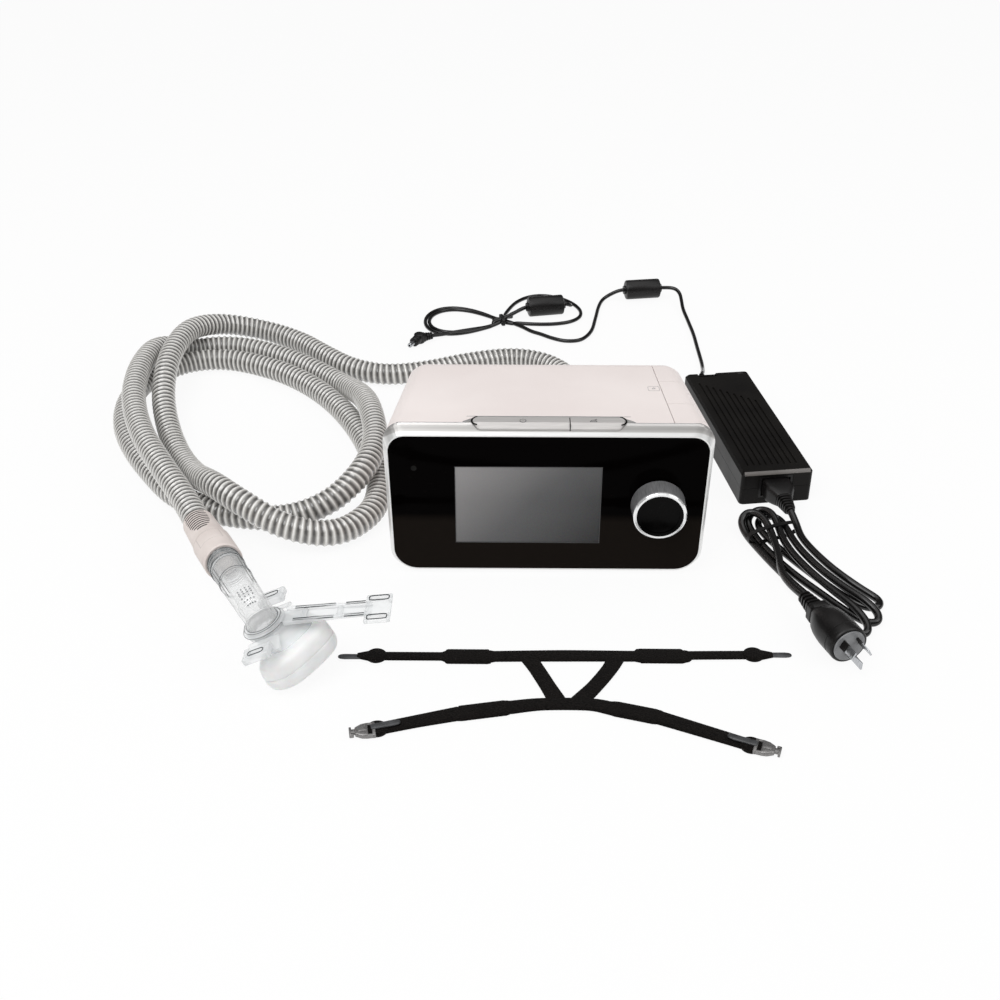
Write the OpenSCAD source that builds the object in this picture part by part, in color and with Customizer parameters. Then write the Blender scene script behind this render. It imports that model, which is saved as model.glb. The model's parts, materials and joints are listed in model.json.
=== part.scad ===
// A two-pressure breathing machine with its hose, nasal mask, loose headgear and power adapter.
// Millimetres. The case stands on z = 0, centred on the origin, with its glass front towards -Y.

/* [Case] */
// Width of the case across the front bezel
case_w = 270; // [250:1:300]
// How much nearer the middle each side is at the rear wall
rear_in = 14; // [10:0.5:17]
// Depth of the case from the glass to the rear wall
case_d = 147; // [143:1:165]
// Height of the case at its front edge, above the table
front_h = 142; // [138:1:155]
// Height of the case at its rear edge, above the table
rear_h = 131; // [126:1:138]
// Wall thickness of the mouldings
wall = 2.4; // [2:0.1:3]
// Radius of the upper corners
top_r = 15; // [10:1:18]
// Radius of the lower corners
low_r = 18; // [14:1:20]
// Rounding of the rear edges
edge_r = 14; // [10:1:16]
// Height of the rubber feet
foot_h = 3; // [2.5:0.5:4]
// Radius of the rubber feet
foot_r = 8; // [6:0.5:9]
// Height of the base tray above the feet
base_h = 11; // [10:0.5:12]
// Depth of the front bezel
bezel_d = 7.5; // [7:0.1:9]

/* [Front panel] */
// Width of the trim beside the glass at its top
panel_side = 4.2; // [4:0.1:8]
// Width of the trim beside the glass at its bottom
panel_low_side = 6; // [5:0.1:10]
// Height of the trim above the glass
panel_drop = 9; // [8:0.5:12]
// Thickness of the glass
panel_t = 2.5; // [2:0.1:3]
// Radius of the upper corners of the glass
panel_top_r = 14; // [10:0.5:16]
// Radius of the lower corners of the glass
panel_low_r = 20; // [16:0.5:22]
// Width of the screen
screen_w = 125; // [110:0.5:130]
// Height of the screen
screen_h = 73.5; // [64:0.5:76]
// Place of the screen's middle across the front
screen_x = -15; // [-20:0.5:-10]
// How far the screen's middle is below half the case's height
screen_drop = 2.8; // [0:0.1:6]

/* [Controls] */
// Diameter of the knob at its base
knob_d = 45.2; // [40:0.2:48]
// Diameter of the knob at its front face
knob_front_d = 43.8; // [38:0.2:44]
// Length of the knob
knob_l = 19.3; // [17:0.1:22]
// Width of the bright ring on the knob's front face
ring_w = 3; // [2:0.1:4]
// How far the knob's middle is from the case's right side
knob_in = 43.5; // [41:0.5:47]
// Travel of a press on the knob
knob_press = 1.2; // [0.8:0.1:1.4]
// Radius of the encoder's shaft
shaft_r = 3; // [2.5:0.1:3.2]
// Length of the row of buttons
btn_row = 123; // [116:0.5:126]
// Depth of a button from front to rear
btn_d = 13.2; // [12:0.1:14]
// Place of the gap between the two buttons
btn_split = 17; // [12:0.5:22]
// Travel of a button
btn_press = 1.2; // [0.8:0.1:1.4]

/* [Humidifier] */
// Width of the tank's end cover at the middle of the case
end_w = 36.8; // [35:0.1:39]
// Room in front of the tank and behind it
tank_room = 27.5; // [26.5:0.5:33]
// Height of the tank's open box
tank_h = 69; // [60:1:72]
// Wall of the tank
tank_wall = 2; // [1.6:0.1:2.4]
// Width of the latch in the end cover
latch_w = 50; // [44:1:54]
// Height of the latch's lower edge
latch_z = 86; // [82:1:90]
// Radius of the latch's pivot
pivot_r = 2.2; // [1.8:0.1:2.4]

/* [Blower] */
// Radius of the blower's drum
drum_r = 44; // [42:0.5:45]
// Height of the blower's drum
drum_h = 42; // [38:0.5:43]
// Radius of the impeller
fan_r = 38; // [34:0.5:39]
// Number of blades on the impeller
fan_blades = 11; // [7:1:13]
// Radius of the motor's shaft
motor_shaft_r = 1.5; // [1.2:0.1:2]
// Outer radius of the air outlet
outlet_r = 11; // [10.5:0.1:11.4]
// Length of the air outlet behind the rear wall
outlet_l = 26; // [22:1:30]
// Place of the air outlet across the rear wall
outlet_x = 45; // [42:1:46]
// Height of the air outlet
outlet_z = 60; // [58:1:62]

/* [Hose and mask] */
// Outer diameter of the hose
hose_d = 24; // [22:0.5:24.5]
// Length of the grip cuff at the mask
cuff_l = 80; // [70:1:84]
// Radius of the grip cuff's collar
cuff_r = 16; // [14:0.5:17]
// Width of the nasal cushion across the face
cushion_w = 76; // [70:1:80]
// Height of the nasal cushion
cushion_h = 58; // [54:1:62]
// Length of the forehead arm
arm_l = 65; // [56:1:72]
// Width of the mask frame between its lower clips
frame_w = 76; // [70:1:80]
// Radius of the port in the mask frame
port_r = 13; // [12:0.1:14]

/* [Headgear] */
// Thickness of the headgear's fabric
fabric_t = 2.4; // [2:0.1:3]
// Width of the upper strap
strap_w = 9; // [8:0.5:12]
// Width of the upper strap's pads
pad_w = 17; // [14:0.5:20]
// Width of the lower strap
low_strap_w = 13; // [11:0.5:15]

/* [Adapter] */
// Length of the power adapter
brick_l = 212; // [190:1:215]
// Width of the power adapter
brick_w = 68; // [62:1:72]
// Height of the power adapter
brick_h = 33; // [32.5:0.5:38]
// Wall of the power adapter
brick_wall = 2.2; // [2:0.1:2.6]
// Number of grooves in the adapter's top
groove_n = 9; // [7:1:10]
// Distance from one groove to the next
groove_step = 5.8; // [5:0.1:6]
// Width of a groove
groove_w = 2; // [1.6:0.1:2.4]
// Diameter of the low-voltage cable
dc_d = 4.5; // [4:0.1:4.8]
// Diameter of the ferrite cores
ferrite_d = 24; // [20:0.5:24]
// Length of the ferrite cores
ferrite_l = 48; // [40:1:50]
// Diameter of the mains cord
mains_d = 6.6; // [6:0.1:7]
// How far behind the middle of the case the low-voltage bundle's tie lies
bundle_y = 452; // [440:1:470]

/* [Hidden] */
$fn = 64;
eps = 0.01;

// Places of the case's main planes
y_glass = -case_d / 2;
y_rear = case_d / 2;
y_bezel = y_glass + bezel_d;
y_round = y_rear - edge_r;
split_z = foot_h + base_h;
seam_gap = 0.4;
seam_slope = 0.05;
half_front = case_w / 2 - 1;
half_rear = case_w / 2 - rear_in;
low_inset = 2.5;
panel_gap = 0.2;
panel_z = foot_h + 2;
panel_h = front_h - panel_z - panel_drop;
panel_w = case_w - 2 * panel_side;
panel_low_w = case_w - 2 * panel_low_side;
seam_x = case_w / 2 - end_w;
screen_z = front_h / 2 - screen_drop;
knob_x = case_w / 2 - knob_in;
knob_z = front_h / 2;
ledge_w = 4;
rim = 1.2;

// Half width of the shell at a depth, and the height of its top there
function half_at(y) = half_front + (half_rear - half_front) * (y - y_bezel) / (y_rear - y_bezel);
function top_at(y) = front_h + (rear_h - front_h) * (y - y_bezel) / (y_rear - y_bezel);
function seam_at(y) = seam_x - seam_slope * y;

// Boards and the encoder behind the glass
board_t = 1.6;
display_t = 6;
boss_l = 3;
y_display = y_glass + panel_t;
y_board = y_display + display_t + boss_l;
board_x0 = 40 - case_w / 2;
board_x1 = knob_x + 7.5;
board_z0 = 24;
board_z1 = front_h - 30;
enc_w = 14;
enc_d = 7;
enc_wall = 1.5;
enc_cav_r = 5.5;
plunger_r = 5;
plunger_t = 1.2;
bush_r = shaft_r + 0.75;
bush_l = 3.5;
knob_gap = knob_press + 0.5;
y_knob = y_glass - knob_gap;
y_knob_front = y_knob - knob_l + ring_w;
y_knob_face = y_knob - knob_l;
y_enc = y_board - enc_d;
y_plunger = y_enc + enc_wall + 1.1;
tail_r = 1.5;

// Row of buttons
btn_x0 = -btn_row / 2;
btn_x1 = btn_row / 2;
btn_y0 = y_glass + 2.9;
btn_y1 = btn_y0 + btn_d;
btn_z0 = panel_z + panel_h + 0.5;
btn_gap = 0.4;
switch_y = btn_y1 - 4.2;
btn_board_z = btn_z0 - 15.5;
switch_h = 3.5;
shelf_y = btn_y1 + 5.2;

// Humidifier
bay_x = 17;
bay_t = 2;
tank_x0 = bay_x + bay_t + 3;
bulkhead_x = seam_x + 5.8;
tank_d = case_d - 2 * tank_room;
heater_t = 5.6;
run_gap = 0.3;
plate_z = split_z + 2.6;
tank_z0 = plate_z + run_gap;
seal_t = 1.2;
lid_h = 19;
lid_z0 = tank_z0 + tank_h + seal_t;
port_z = lid_z0 + 8.5;
port_y = 22;
port_hole_r = 9;
pivot_x = half_at(0) - 9.1;
pivot_z = latch_z + 1.8;

// Blower
blower_x = -52;
blower_y = 12;
mount_h = 8;
floor_z = foot_h + wall;
drum_z = floor_z + mount_h;
drum_wall = 2;
motor_r = 15;
motor_h = 13;
duct_x0 = blower_x + drum_r - 2;
duct_x1 = bay_x - 0.2;
duct_y0 = -33;
duct_y1 = -11;
duct_wall = 2;
duct_z1 = port_z + 11;

// Screw posts, as place across, place in depth and whether the post is tall
post_x0 = 27 - case_w / 2;
post_x1 = bay_x - 9;
post_x2 = bulkhead_x - 20;
posts = [[post_x0, y_glass + 19.5, 0], [post_x0, y_rear - 19.5, 0], [post_x1, y_glass + 27.5, 1],
    [post_x1, y_rear - 14.5, 0], [post_x2, y_glass + 17.5, 1], [post_x2, y_rear - 11.5, 0]];
post_r = 4;
post_h = 26;
screw_r = 1.5;

// Rear wall
outlet_y1 = y_rear - 7.5;
outlet_y0 = outlet_y1 - 16;
outlet_x0 = bay_x - 21;
outlet_half = 13;
filter_x = 55 - case_w / 2;
filter_z = 76;
filter_w = 34;
filter_h = 28;
cap_lap = 4;
jack_x = -20;
jack_z = 32;
jack_r = 3.2;
jack_depth = 8;

// Mask's place and turn, with the port at its own origin
mask_at = [-219, -202, 45];
mask_turn = [0, -24, 0];
cushion_x = 15;
cushion_d = 46;
elbow_rise = 14;
elbow_r = 12.5;
mask_out = [sin(mask_turn[1]), 0, cos(mask_turn[1])];
elbow_at = mask_at + elbow_rise * mask_out;
cuff_at = [-298, -54, 36];
cuff_way = elbow_at - cuff_at;
cuff_turn = atan2(cuff_way[1], cuff_way[0]);
cuff_tilt = asin(cuff_way[2] / norm(cuff_way));
swivel_l = 16;

// Adapter's place and turn
brick_at = [202, 150, 0];
brick_turn = 8;
relief_x = -11;
relief_z = 22;
relief_l = 16;
conn_x = -1;
conn_z = 17;
conn_l = 24;

// Route of the hose from the machine's cuff to the grip cuff
hose_route = [[45, 112, 60], [45, 155, 53], [45, 205, 32], [40, 260, 15], [15, 310, 12], [-25, 330, 12],
    [-75, 318, 12], [-120, 297, 12], [-165, 288, 12], [-205, 303, 12], [-240, 337, 12],
    [-275, 374, 12], [-315, 394, 16], [-358, 384, 28], [-386, 348, 39], [-395, 300, 40],
    [-395, 250, 35], [-389, 205, 23], [-375, 160, 14], [-354, 110, 12], [-327, 58, 20],
    [-298, 12, 36], [-264, -22, 36], [-226, -39, 24], [-185, -32, 13], [-156, 6, 12],
    [-154, 62, 12], [-168, 118, 12], [-188, 170, 12], [-215, 220, 12], [-250, 265, 12],
    [-292, 300, 12], [-345, 323, 12], [-392, 313, 12], [-422, 273, 12], [-430, 220, 12],
    [-421, 168, 12], [-400, 120, 12], [-370, 72, 12], [-337, 30, 12], [-292, 2, 12],
    [-238, -6, 12], [-194, 4, 23], [-166, 40, 36], [-160, 95, 37], [-168, 150, 36],
    [-183, 206, 27], [-210, 258, 14], [-248, 300, 12], [-292, 335, 12], [-342, 357, 12],
    [-388, 350, 13], [-417, 314, 31], [-422, 260, 37], [-416, 200, 38], [-402, 148, 37],
    [-380, 95, 37], [-353, 45, 37], [-322, -8, 36], [-298, -54, 36]];
hose_path = concat([hose_route[0], hose_route[0] + [0, 8, 0]], [for (i = [1 : len(hose_route) - 2]) hose_route[i]],
    [cuff_at - 8 * unit(cuff_way), cuff_at]);

// Route of the low-voltage cable from its relief to the bundle, and from the bundle to its plug
dc_start = brick_at + turned([relief_x, brick_l / 2 + relief_l - 2, relief_z], brick_turn);
lay_y0 = 280;
lay_mid = 452;
dc_points = [for (q = [[177, 280, 20], [180, 295, 14], [183, 315, 6], [185, 340, 3], [185, 381, 3], [185, 418, 3],
    [183, 459, 3], [181, 490, 4], [181, 512, 7], [180, 526, 10], [174, 534, 13], [159, 536, 13], [134, 532, 13],
    [109, 528, 13], [97, 527, 9], [85, 520, 4], [78, 498, 3], [72, 462, 3], [65, 425, 3], [52, 401, 3],
    [34, 397, 3], [18, 405, 3], [5, 416, 3], [-6, 424, 3], [-14, 431, 3], [-16, 440.6, 4]]) laid(q)];
plug_place = laid([-122, 404, 6]);
dc_plug_route = [plug_place + [12, 10.7, -2], plug_place + [11, 7, -2], plug_place + [8, 4, -1.4], plug_place - 3.5 * [cos(205), sin(205), 0], plug_place];
tie_at = laid([-40, 452, 0]);
hank_h = 10;
bundle_h = 14;
tie_w = 7;
tie_t = 1.5;
dc_neck = 11;
relief_mains_l = 20;
mains_start = brick_at + turned([conn_x, -brick_l / 2 - conn_l - relief_mains_l, conn_z], brick_turn);
mains_points = [[224, -9, 12], [222.5, -13.3, 10], [218.6, -16.1, 9]];
plug_points = [[206, -120, 15], [202.5, -116, 13], [203, -113.3, 11.5], [207, -110.6, 11]];
plug_at = [214, -142, 16];
plug_turn = -71;
plug_relief = 16;

function unit(v) = v / norm(v);
// A point of the cable's lay, moved with the bundle's place
function laid(q) = [q[0], lay_y0 + (q[1] - lay_y0) * (bundle_y - lay_y0) / (lay_mid - lay_y0), q[2]];
// A point of the adapter's own frame, turned about the vertical
function turned(q, a) = [q[0] * cos(a) - q[1] * sin(a), q[0] * sin(a) + q[1] * cos(a), q[2]];
function way(p, i) = unit(p[min(i + 1, len(p) - 1)] - p[max(i - 1, 0)]);

// A tube of even radius swept along points
module swept(p, r, sides) {
    n = len(p);
    pts = [for (i = [0 : n - 1])
        let (t = way(p, i), u = unit(cross([0, 0, 1], t)), v = cross(t, u))
        for (k = [0 : sides - 1]) p[i] + r * (cos(360 * k / sides) * u + sin(360 * k / sides) * v)];
    sides_list = [for (i = [0 : n - 2]) for (k = [0 : sides - 1])
        let (a = i * sides + k, b = i * sides + (k + 1) % sides) each [[a, b, b + sides], [a, b + sides, a + sides]]];
    ends = [[for (k = [0 : sides - 1]) sides - 1 - k], [for (k = [0 : sides - 1]) (n - 1) * sides + k]];
    polyhedron(points = pts, faces = [for (f = concat(sides_list, ends)) [for (k = [len(f) - 1 : -1 : 0]) f[k]]]);
}

// A rounded rectangle about the origin
module rrect(w, d, r) {
    square([w - 2 * r, d], center = true);
    square([w, d - 2 * r], center = true);
    for (x = [-1, 1]) for (y = [-1, 1]) translate([x * (w / 2 - r), y * (d / 2 - r)]) circle(r);
}

// A box between two corners
module box(a, b) {
    translate(a) cube(b - a);
}

// A cylinder along Y from y0 to y1
module rod_y(x, z, y0, y1, r, r2) {
    translate([x, y0, z]) rotate([-90, 0, 0]) cylinder(r1 = r, r2 = is_undef(r2) ? r : r2, h = y1 - y0);
}

// Four thin rods at the corners of the case's outline at one depth
module corner_rods(y, wt, wb, zt, zb, rt, rb) {
    for (s = [-1, 1]) {
        translate([s * (wt - rt), y, zt - rt]) rotate([-90, 0, 0]) cylinder(r = rt, h = 0.1, $fn = 32);
        translate([s * (wb - rb), y, zb + rb]) rotate([-90, 0, 0]) cylinder(r = rb, h = 0.1, $fn = 32);
    }
}

// The case's outer form, drawn in by i and open towards the front
module shell_form(i) {
    er = edge_r - i;
    ys = i > 0 ? y_bezel - 1 : y_bezel;
    hull() {
        corner_rods(ys, half_at(ys) - i, half_at(ys) - low_inset - i, top_at(ys) - i, foot_h + i, top_r - i, low_r - i);
        for (a = [0, 30, 60, 90]) {
            y = y_round + er * sin(a);
            k = i + er * (1 - cos(a));
            corner_rods(y - 0.1, half_at(y_round) - k, half_at(y_round) - low_inset - k, top_at(y_round) - k,
                foot_h + k * 0.5, top_r - i, low_r - i);
        }
    }
}

// The wall of the case
module shell_wall() {
    difference() {
        shell_form(0);
        shell_form(wall);
    }
}

// The outline of the glass, grown by a
module glass_outline(a) {
    zt = panel_z + panel_h + a;
    zb = panel_z - a;
    hull() {
        for (s = [-1, 1]) {
            translate([s * (panel_w / 2 + a - panel_top_r), zt - panel_top_r]) circle(panel_top_r);
            translate([s * (panel_low_w / 2 + a - panel_low_r), zb + panel_low_r]) circle(panel_low_r);
        }
    }
}

// A plate in the plane of the front, from y0 to y1
module front_plate(y0, y1) {
    translate([0, y1, 0]) rotate([90, 0, 0]) linear_extrude(y1 - y0) children();
}

// The outline of the row of buttons, grown by a
module button_plan(a) {
    translate([(btn_x0 + btn_x1) / 2, (btn_y0 + btn_y1) / 2]) rrect(btn_row + 2 * a, btn_d + 2 * a, btn_d / 2 + a - eps);
}

// The outline of the trim that runs behind the buttons, grown by a
module trim_plan(a) {
    translate([0, y_bezel - 1]) intersection() {
        translate([-case_w, 0]) square([2 * case_w, btn_y1 - y_bezel + 6]);
        translate([0, (btn_y1 - y_bezel + 5 + a) / 2 - 6])
            rrect(btn_row + 16 + 2 * a, btn_y1 - y_bezel + 17 + a, 8 + a);
    }
}

// Plan of what lies left of the tank's seam, drawn back by g
module left_of_seam(g) {
    polygon([[-case_w, y_bezel], [seam_at(y_bezel) - g, y_bezel], [seam_at(y_rear + 5) - g, y_rear + 5], [-case_w, y_rear + 5]]);
}

module right_of_seam(g) {
    polygon([[case_w, y_bezel + g], [seam_at(y_bezel) + g, y_bezel + g], [seam_at(y_rear + 5) + g, y_rear + 5], [case_w, y_rear + 5]]);
}

module base_tray() {
    color("#d9d4cf") difference() {
        union() {
            intersection() {
                shell_wall();
                box([-case_w, y_bezel, 0], [case_w, y_rear + 1, split_z]);
            }
            for (p = posts) translate([p[0], p[1], foot_h + 0.5]) cylinder(r = post_r, h = base_h - 0.5);
        }
        for (p = posts) {
            translate([p[0], p[1], 0]) cylinder(r = screw_r + 0.2, h = split_z + 1);
            translate([p[0], p[1], 0]) cylinder(r = 2 * screw_r + 0.2, h = foot_h + 3);
        }
    }
}

module upper_housing() {
    color("#ece3df") difference() {
        union() {
            intersection() {
                shell_wall();
                translate([0, 0, split_z]) linear_extrude(front_h) left_of_seam(seam_gap / 2);
            }
            intersection() {
                shell_form(1);
                union() {
                    box([bay_x, shelf_y + 2, split_z], [bay_x + bay_t, y_rear, front_h]);
                    box([btn_x0 + 3, shelf_y, btn_board_z + board_t], [btn_x1 - 3, shelf_y + 2, front_h]);
                    for (p = posts) {
                        translate([p[0], p[1], split_z]) cylinder(r = post_r, h = p[2] == 1 ? front_h : post_h);
                        if (p[2] == 0 && p[1] > 0) box([p[0] - 1, p[1], split_z], [p[0] + 1, y_rear, split_z + post_h]);
                        if (p[2] == 0 && p[1] < 0) box([-half_front, p[1] - 1, split_z], [p[0], p[1] + 1, split_z + post_h]);
                    }
                }
            }
        }
        translate([0, 0, btn_board_z + board_t]) linear_extrude(front_h) trim_plan(panel_gap);
        for (p = posts) translate([p[0], p[1], split_z - 1]) cylinder(r = screw_r + 0.1, h = post_h - 3);
        for (s = [-1, 1]) translate([bay_x - 1, s * port_y, port_z]) rotate([0, 90, 0]) cylinder(r = port_hole_r, h = bay_t + 2);
        box([bay_x - 1, outlet_y0 - 0.3, port_z - 11.3], [bay_x + bay_t + 1, outlet_y1 + 0.2, port_z + 11.3]);
        rod_y(outlet_x, outlet_z, outlet_y1 - 1, y_rear + 1, outlet_r + 1);
        box([filter_x - filter_w / 2, y_rear - wall - 1, filter_z - filter_h / 2],
            [filter_x + filter_w / 2, y_rear + 1, filter_z + filter_h / 2]);
        box([jack_x - 6.2, y_rear - wall - 1, jack_z - 6.2], [jack_x + 6.2, y_rear + 1, jack_z + 6.2]);
    }
}

module front_bezel() {
    color("#d8d8d6") difference() {
        union() {
            hull() {
                corner_rods(y_glass, panel_w / 2 + rim, panel_low_w / 2 + rim, panel_z + panel_h + rim, panel_z - rim,
                    panel_top_r + rim, panel_low_r + rim);
                corner_rods(y_bezel - 2, half_front + 1, half_front + 1 - low_inset, front_h - 1.4, foot_h + 0.4, top_r, low_r);
                corner_rods(y_bezel - 0.1, half_front, half_front - low_inset, front_h, foot_h, top_r, low_r);
            }
            intersection() {
                shell_wall();
                translate([0, 0, front_h / 2]) linear_extrude(front_h) trim_plan(0);
            }
        }
        front_plate(y_glass - 1, y_glass + panel_t) glass_outline(0);
        front_plate(y_glass, y_bezel + eps) glass_outline(-ledge_w);
        translate([0, 0, btn_z0 - btn_press - 0.5]) linear_extrude(front_h) button_plan(btn_gap);
    }
}

module front_panel() {
    color("#060606") difference() {
        front_plate(y_glass, y_glass + panel_t) glass_outline(-panel_gap);
        box([screen_x - screen_w / 2, y_glass - 1, screen_z - screen_h / 2],
            [screen_x + screen_w / 2, y_glass + panel_t + 1, screen_z + screen_h / 2]);
        rod_y(knob_x, knob_z, y_glass - 1, y_glass + panel_t + 1, bush_r + 0.3);
    }
}

module display_module() {
    color("#55565a") union() {
        box([screen_x - screen_w / 2 + 0.2, y_glass + 0.3, screen_z - screen_h / 2 + 0.2],
            [screen_x + screen_w / 2 - 0.2, y_display + eps, screen_z + screen_h / 2 - 0.2]);
        box([screen_x - screen_w / 2 - 3.5, y_display, screen_z - screen_h / 2 - 3.5],
            [screen_x + screen_w / 2 + 3.5, y_display + display_t, screen_z + screen_h / 2 + 3.5]);
        for (s = [-1, 1]) for (t = [-1, 1])
            rod_y(screen_x + s * (screen_w / 2 - 4), screen_z + t * (screen_h / 2 - 4), y_display + display_t - eps, y_board, 3);
    }
}

module main_board() {
    color("#2f6b45") union() {
        box([board_x0, y_board, board_z0], [board_x1, y_board + board_t, board_z1]);
        box([-70, y_board + board_t - eps, 60], [-52, y_board + board_t + 2, 78]);
        box([-30, y_board + board_t - eps, 40], [-6, y_board + board_t + 3, 56]);
        box([-88, y_board + board_t - eps, 86], [-76, y_board + board_t + 4.4, 104]);
    }
}

module rubber_feet() {
    color("#3a3a3a") for (x = [-1, 1]) for (y = [-1, 1])
        translate([x * (half_rear - low_r - foot_r), y * (y_rear - edge_r - foot_r - 2), 0])
            cylinder(r = foot_r, h = foot_h);
}

module housing_screws() {
    color("silver") for (p = posts) translate([p[0], p[1], foot_h + 1]) {
        cylinder(r = 2 * screw_r, h = 2);
        cylinder(r = screw_r, h = base_h + 9);
    }
}

module encoder_base() {
    color("#8b8f94") difference() {
        union() {
            box([knob_x - enc_w / 2, y_enc, knob_z - enc_w / 2], [knob_x + enc_w / 2, y_board, knob_z + enc_w / 2]);
            rod_y(knob_x, knob_z, y_glass - bush_l, y_enc + eps, bush_r);
        }
        rod_y(knob_x, knob_z, y_glass - bush_l - 1, y_board - 2, shaft_r + 0.05);
        rod_y(knob_x, knob_z, y_enc + enc_wall, y_board - 0.8, enc_cav_r);
    }
}

module encoder_plunger() {
    color("#b9bcc0") difference() {
        rod_y(knob_x, knob_z, y_plunger, y_plunger + plunger_t, plunger_r);
        rod_y(knob_x, knob_z, y_plunger - 1, y_plunger + plunger_t + 1, tail_r + 0.1);
    }
}

module encoder_shaft() {
    color("silver") union() {
        rod_y(knob_x, knob_z, y_knob_front + 4, y_plunger - 0.3, shaft_r);
        rod_y(knob_x, knob_z, y_plunger - 0.4, y_plunger + plunger_t + 0.3, tail_r);
    }
}

module knob_body() {
    color("#c9cbcd") difference() {
        rod_y(knob_x, knob_z, y_knob_front, y_knob, knob_front_d / 2, knob_d / 2);
        difference() {
            rod_y(knob_x, knob_z, y_knob_front + 2.5, y_knob + 1, knob_front_d / 2 - 2.2);
            rod_y(knob_x, knob_z, y_knob_front, y_knob - 4, shaft_r + 3);
        }
        rod_y(knob_x, knob_z, y_knob_front + 4, y_knob + 1, shaft_r);
    }
}

module knob_ring() {
    color("#f2f3f4") translate([knob_x, y_knob_front, knob_z]) rotate([90, 0, 0]) rotate_extrude($fn = 96)
        translate([knob_front_d / 2 - ring_w, 0]) polygon([[0, 0], [ring_w, 0], [ring_w, ring_w - 1], [ring_w - 1, ring_w], [0, ring_w]]);
}

module knob_cap() {
    color("#0a0a0a") translate([knob_x, y_knob_front, knob_z]) rotate([90, 0, 0]) {
        cylinder(r = knob_front_d / 2 - ring_w - 0.1, h = ring_w - 1.2);
        translate([0, 0, ring_w - 1.2 - eps]) cylinder(r1 = knob_front_d / 2 - ring_w - 0.1, r2 = knob_front_d / 2 - ring_w - 3, h = 0.6);
    }
}

// One button between two places across the row
module button(x0, x1) {
    difference() {
        intersection() {
            translate([x0, 0, 0]) rotate([90, 0, 90]) linear_extrude(x1 - x0)
                polygon([[btn_y0, btn_z0], [btn_y0, front_h - 3], [btn_y0 + 4, front_h + 0.8],
                    [btn_y1 - 1, front_h + 1], [btn_y1, front_h], [btn_y1, btn_z0]]);
            translate([0, 0, btn_z0]) linear_extrude(front_h) button_plan(0);
        }
        intersection() {
            box([x0 + 1.6, btn_y0 - 1, btn_z0 - 1], [x1 - 1.6, btn_y1 + 1, front_h - 4.5]);
            translate([0, 0, btn_z0 - 1]) linear_extrude(front_h) button_plan(-1.6);
        }
    }
    translate([(x0 + x1) / 2, switch_y, btn_board_z + board_t + switch_h + 1.2 + btn_press + 0.1])
        cylinder(r = 2, h = front_h - 4 - btn_board_z - board_t - switch_h - 1.2 - btn_press - 0.1);
}

module power_button() {
    color("#c4c5c6") button(btn_x0, btn_split - btn_gap);
}

module ramp_button() {
    color("#c4c5c6") button(btn_split + btn_gap, btn_x1);
}

module button_board() {
    color("#2f6b45") box([btn_x0 + 3.5, switch_y - 4, btn_board_z], [btn_x1 - 3.5, shelf_y + 2, btn_board_z + board_t]);
    color("#303030") for (c = [(btn_x0 + btn_split - btn_gap) / 2, (btn_x1 + btn_split + btn_gap) / 2]) {
        translate([c, switch_y, btn_board_z + board_t - eps + switch_h / 2]) cube([6, 6, switch_h], center = true);
        translate([c, switch_y, btn_board_z + board_t]) cylinder(r = 1.7, h = switch_h + 1);
    }
}

module tank_end_cover() {
    color("#ece3df") difference() {
        union() {
            intersection() {
                shell_wall();
                translate([0, 0, split_z + seam_gap]) linear_extrude(front_h) right_of_seam(seam_gap);
            }
            intersection() {
                shell_form(0.8);
                union() {
                    box([bulkhead_x, y_bezel + seam_gap, split_z + seam_gap], [bulkhead_x + 2.4, y_rear, latch_z - 6]);
                    for (s = [-1, 1]) box([bulkhead_x, s * (tank_d / 2 - 6) - 6, latch_z - 7], [bulkhead_x + 2.4, s * (tank_d / 2 - 6) + 6, lid_z0 + lid_h]);
                    for (s = [-1, 1]) box([pivot_x - 3, s * (latch_w / 2 - 2.6) - 1.6, latch_z - 12],
                        [case_w / 2, s * (latch_w / 2 - 2.6) + 1.6, latch_z - 1.2]);
                    for (s = [-1, 1]) box([pivot_x - 3, s * (latch_w / 2 - 2.6) - 1.6, latch_z - 1.3],
                        [pivot_x + 3, s * (latch_w / 2 - 2.6) + 1.6, pivot_z + 3]);
                }
            }
        }
        box([seam_x - 20, -latch_w / 2, pivot_z + 3.2], [case_w, latch_w / 2, front_h + 10]);
        box([pivot_x + 3.4, -latch_w / 2, latch_z - 1], [case_w, latch_w / 2, front_h + 10]);
        rod_y(pivot_x, pivot_z, -latch_w / 2 - 1, latch_w / 2 + 1, pivot_r + 0.1);
    }
}

module tank_latch() {
    color("#ece3df") difference() {
        union() {
            intersection() {
                shell_wall();
                translate([0, 0, latch_z]) linear_extrude(front_h) intersection() {
                    right_of_seam(seam_gap);
                    translate([0, -latch_w / 2 + seam_gap]) square([case_w, latch_w - 2 * seam_gap]);
                }
            }
            intersection() {
                shell_form(1);
                union() {
                    rod_y(pivot_x, pivot_z, -latch_w / 2 + 5, latch_w / 2 - 5, pivot_r + 1.2);
                    box([pivot_x, -latch_w / 2 + 5, pivot_z - 1], [case_w, latch_w / 2 - 5, pivot_z + 3]);
                }
            }
            rod_y(pivot_x, pivot_z, -latch_w / 2 + 0.6, latch_w / 2 - 0.6, pivot_r);
        }
    }
}

module water_tank() {
    color("#cfe0ea") difference() {
        box([tank_x0, -tank_d / 2, tank_z0], [bulkhead_x, tank_d / 2, tank_z0 + tank_h]);
        box([tank_x0 + tank_wall, -tank_d / 2 + tank_wall, tank_z0 + tank_wall],
            [bulkhead_x - tank_wall, tank_d / 2 - tank_wall, tank_z0 + tank_h + 1]);
    }
}

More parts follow.
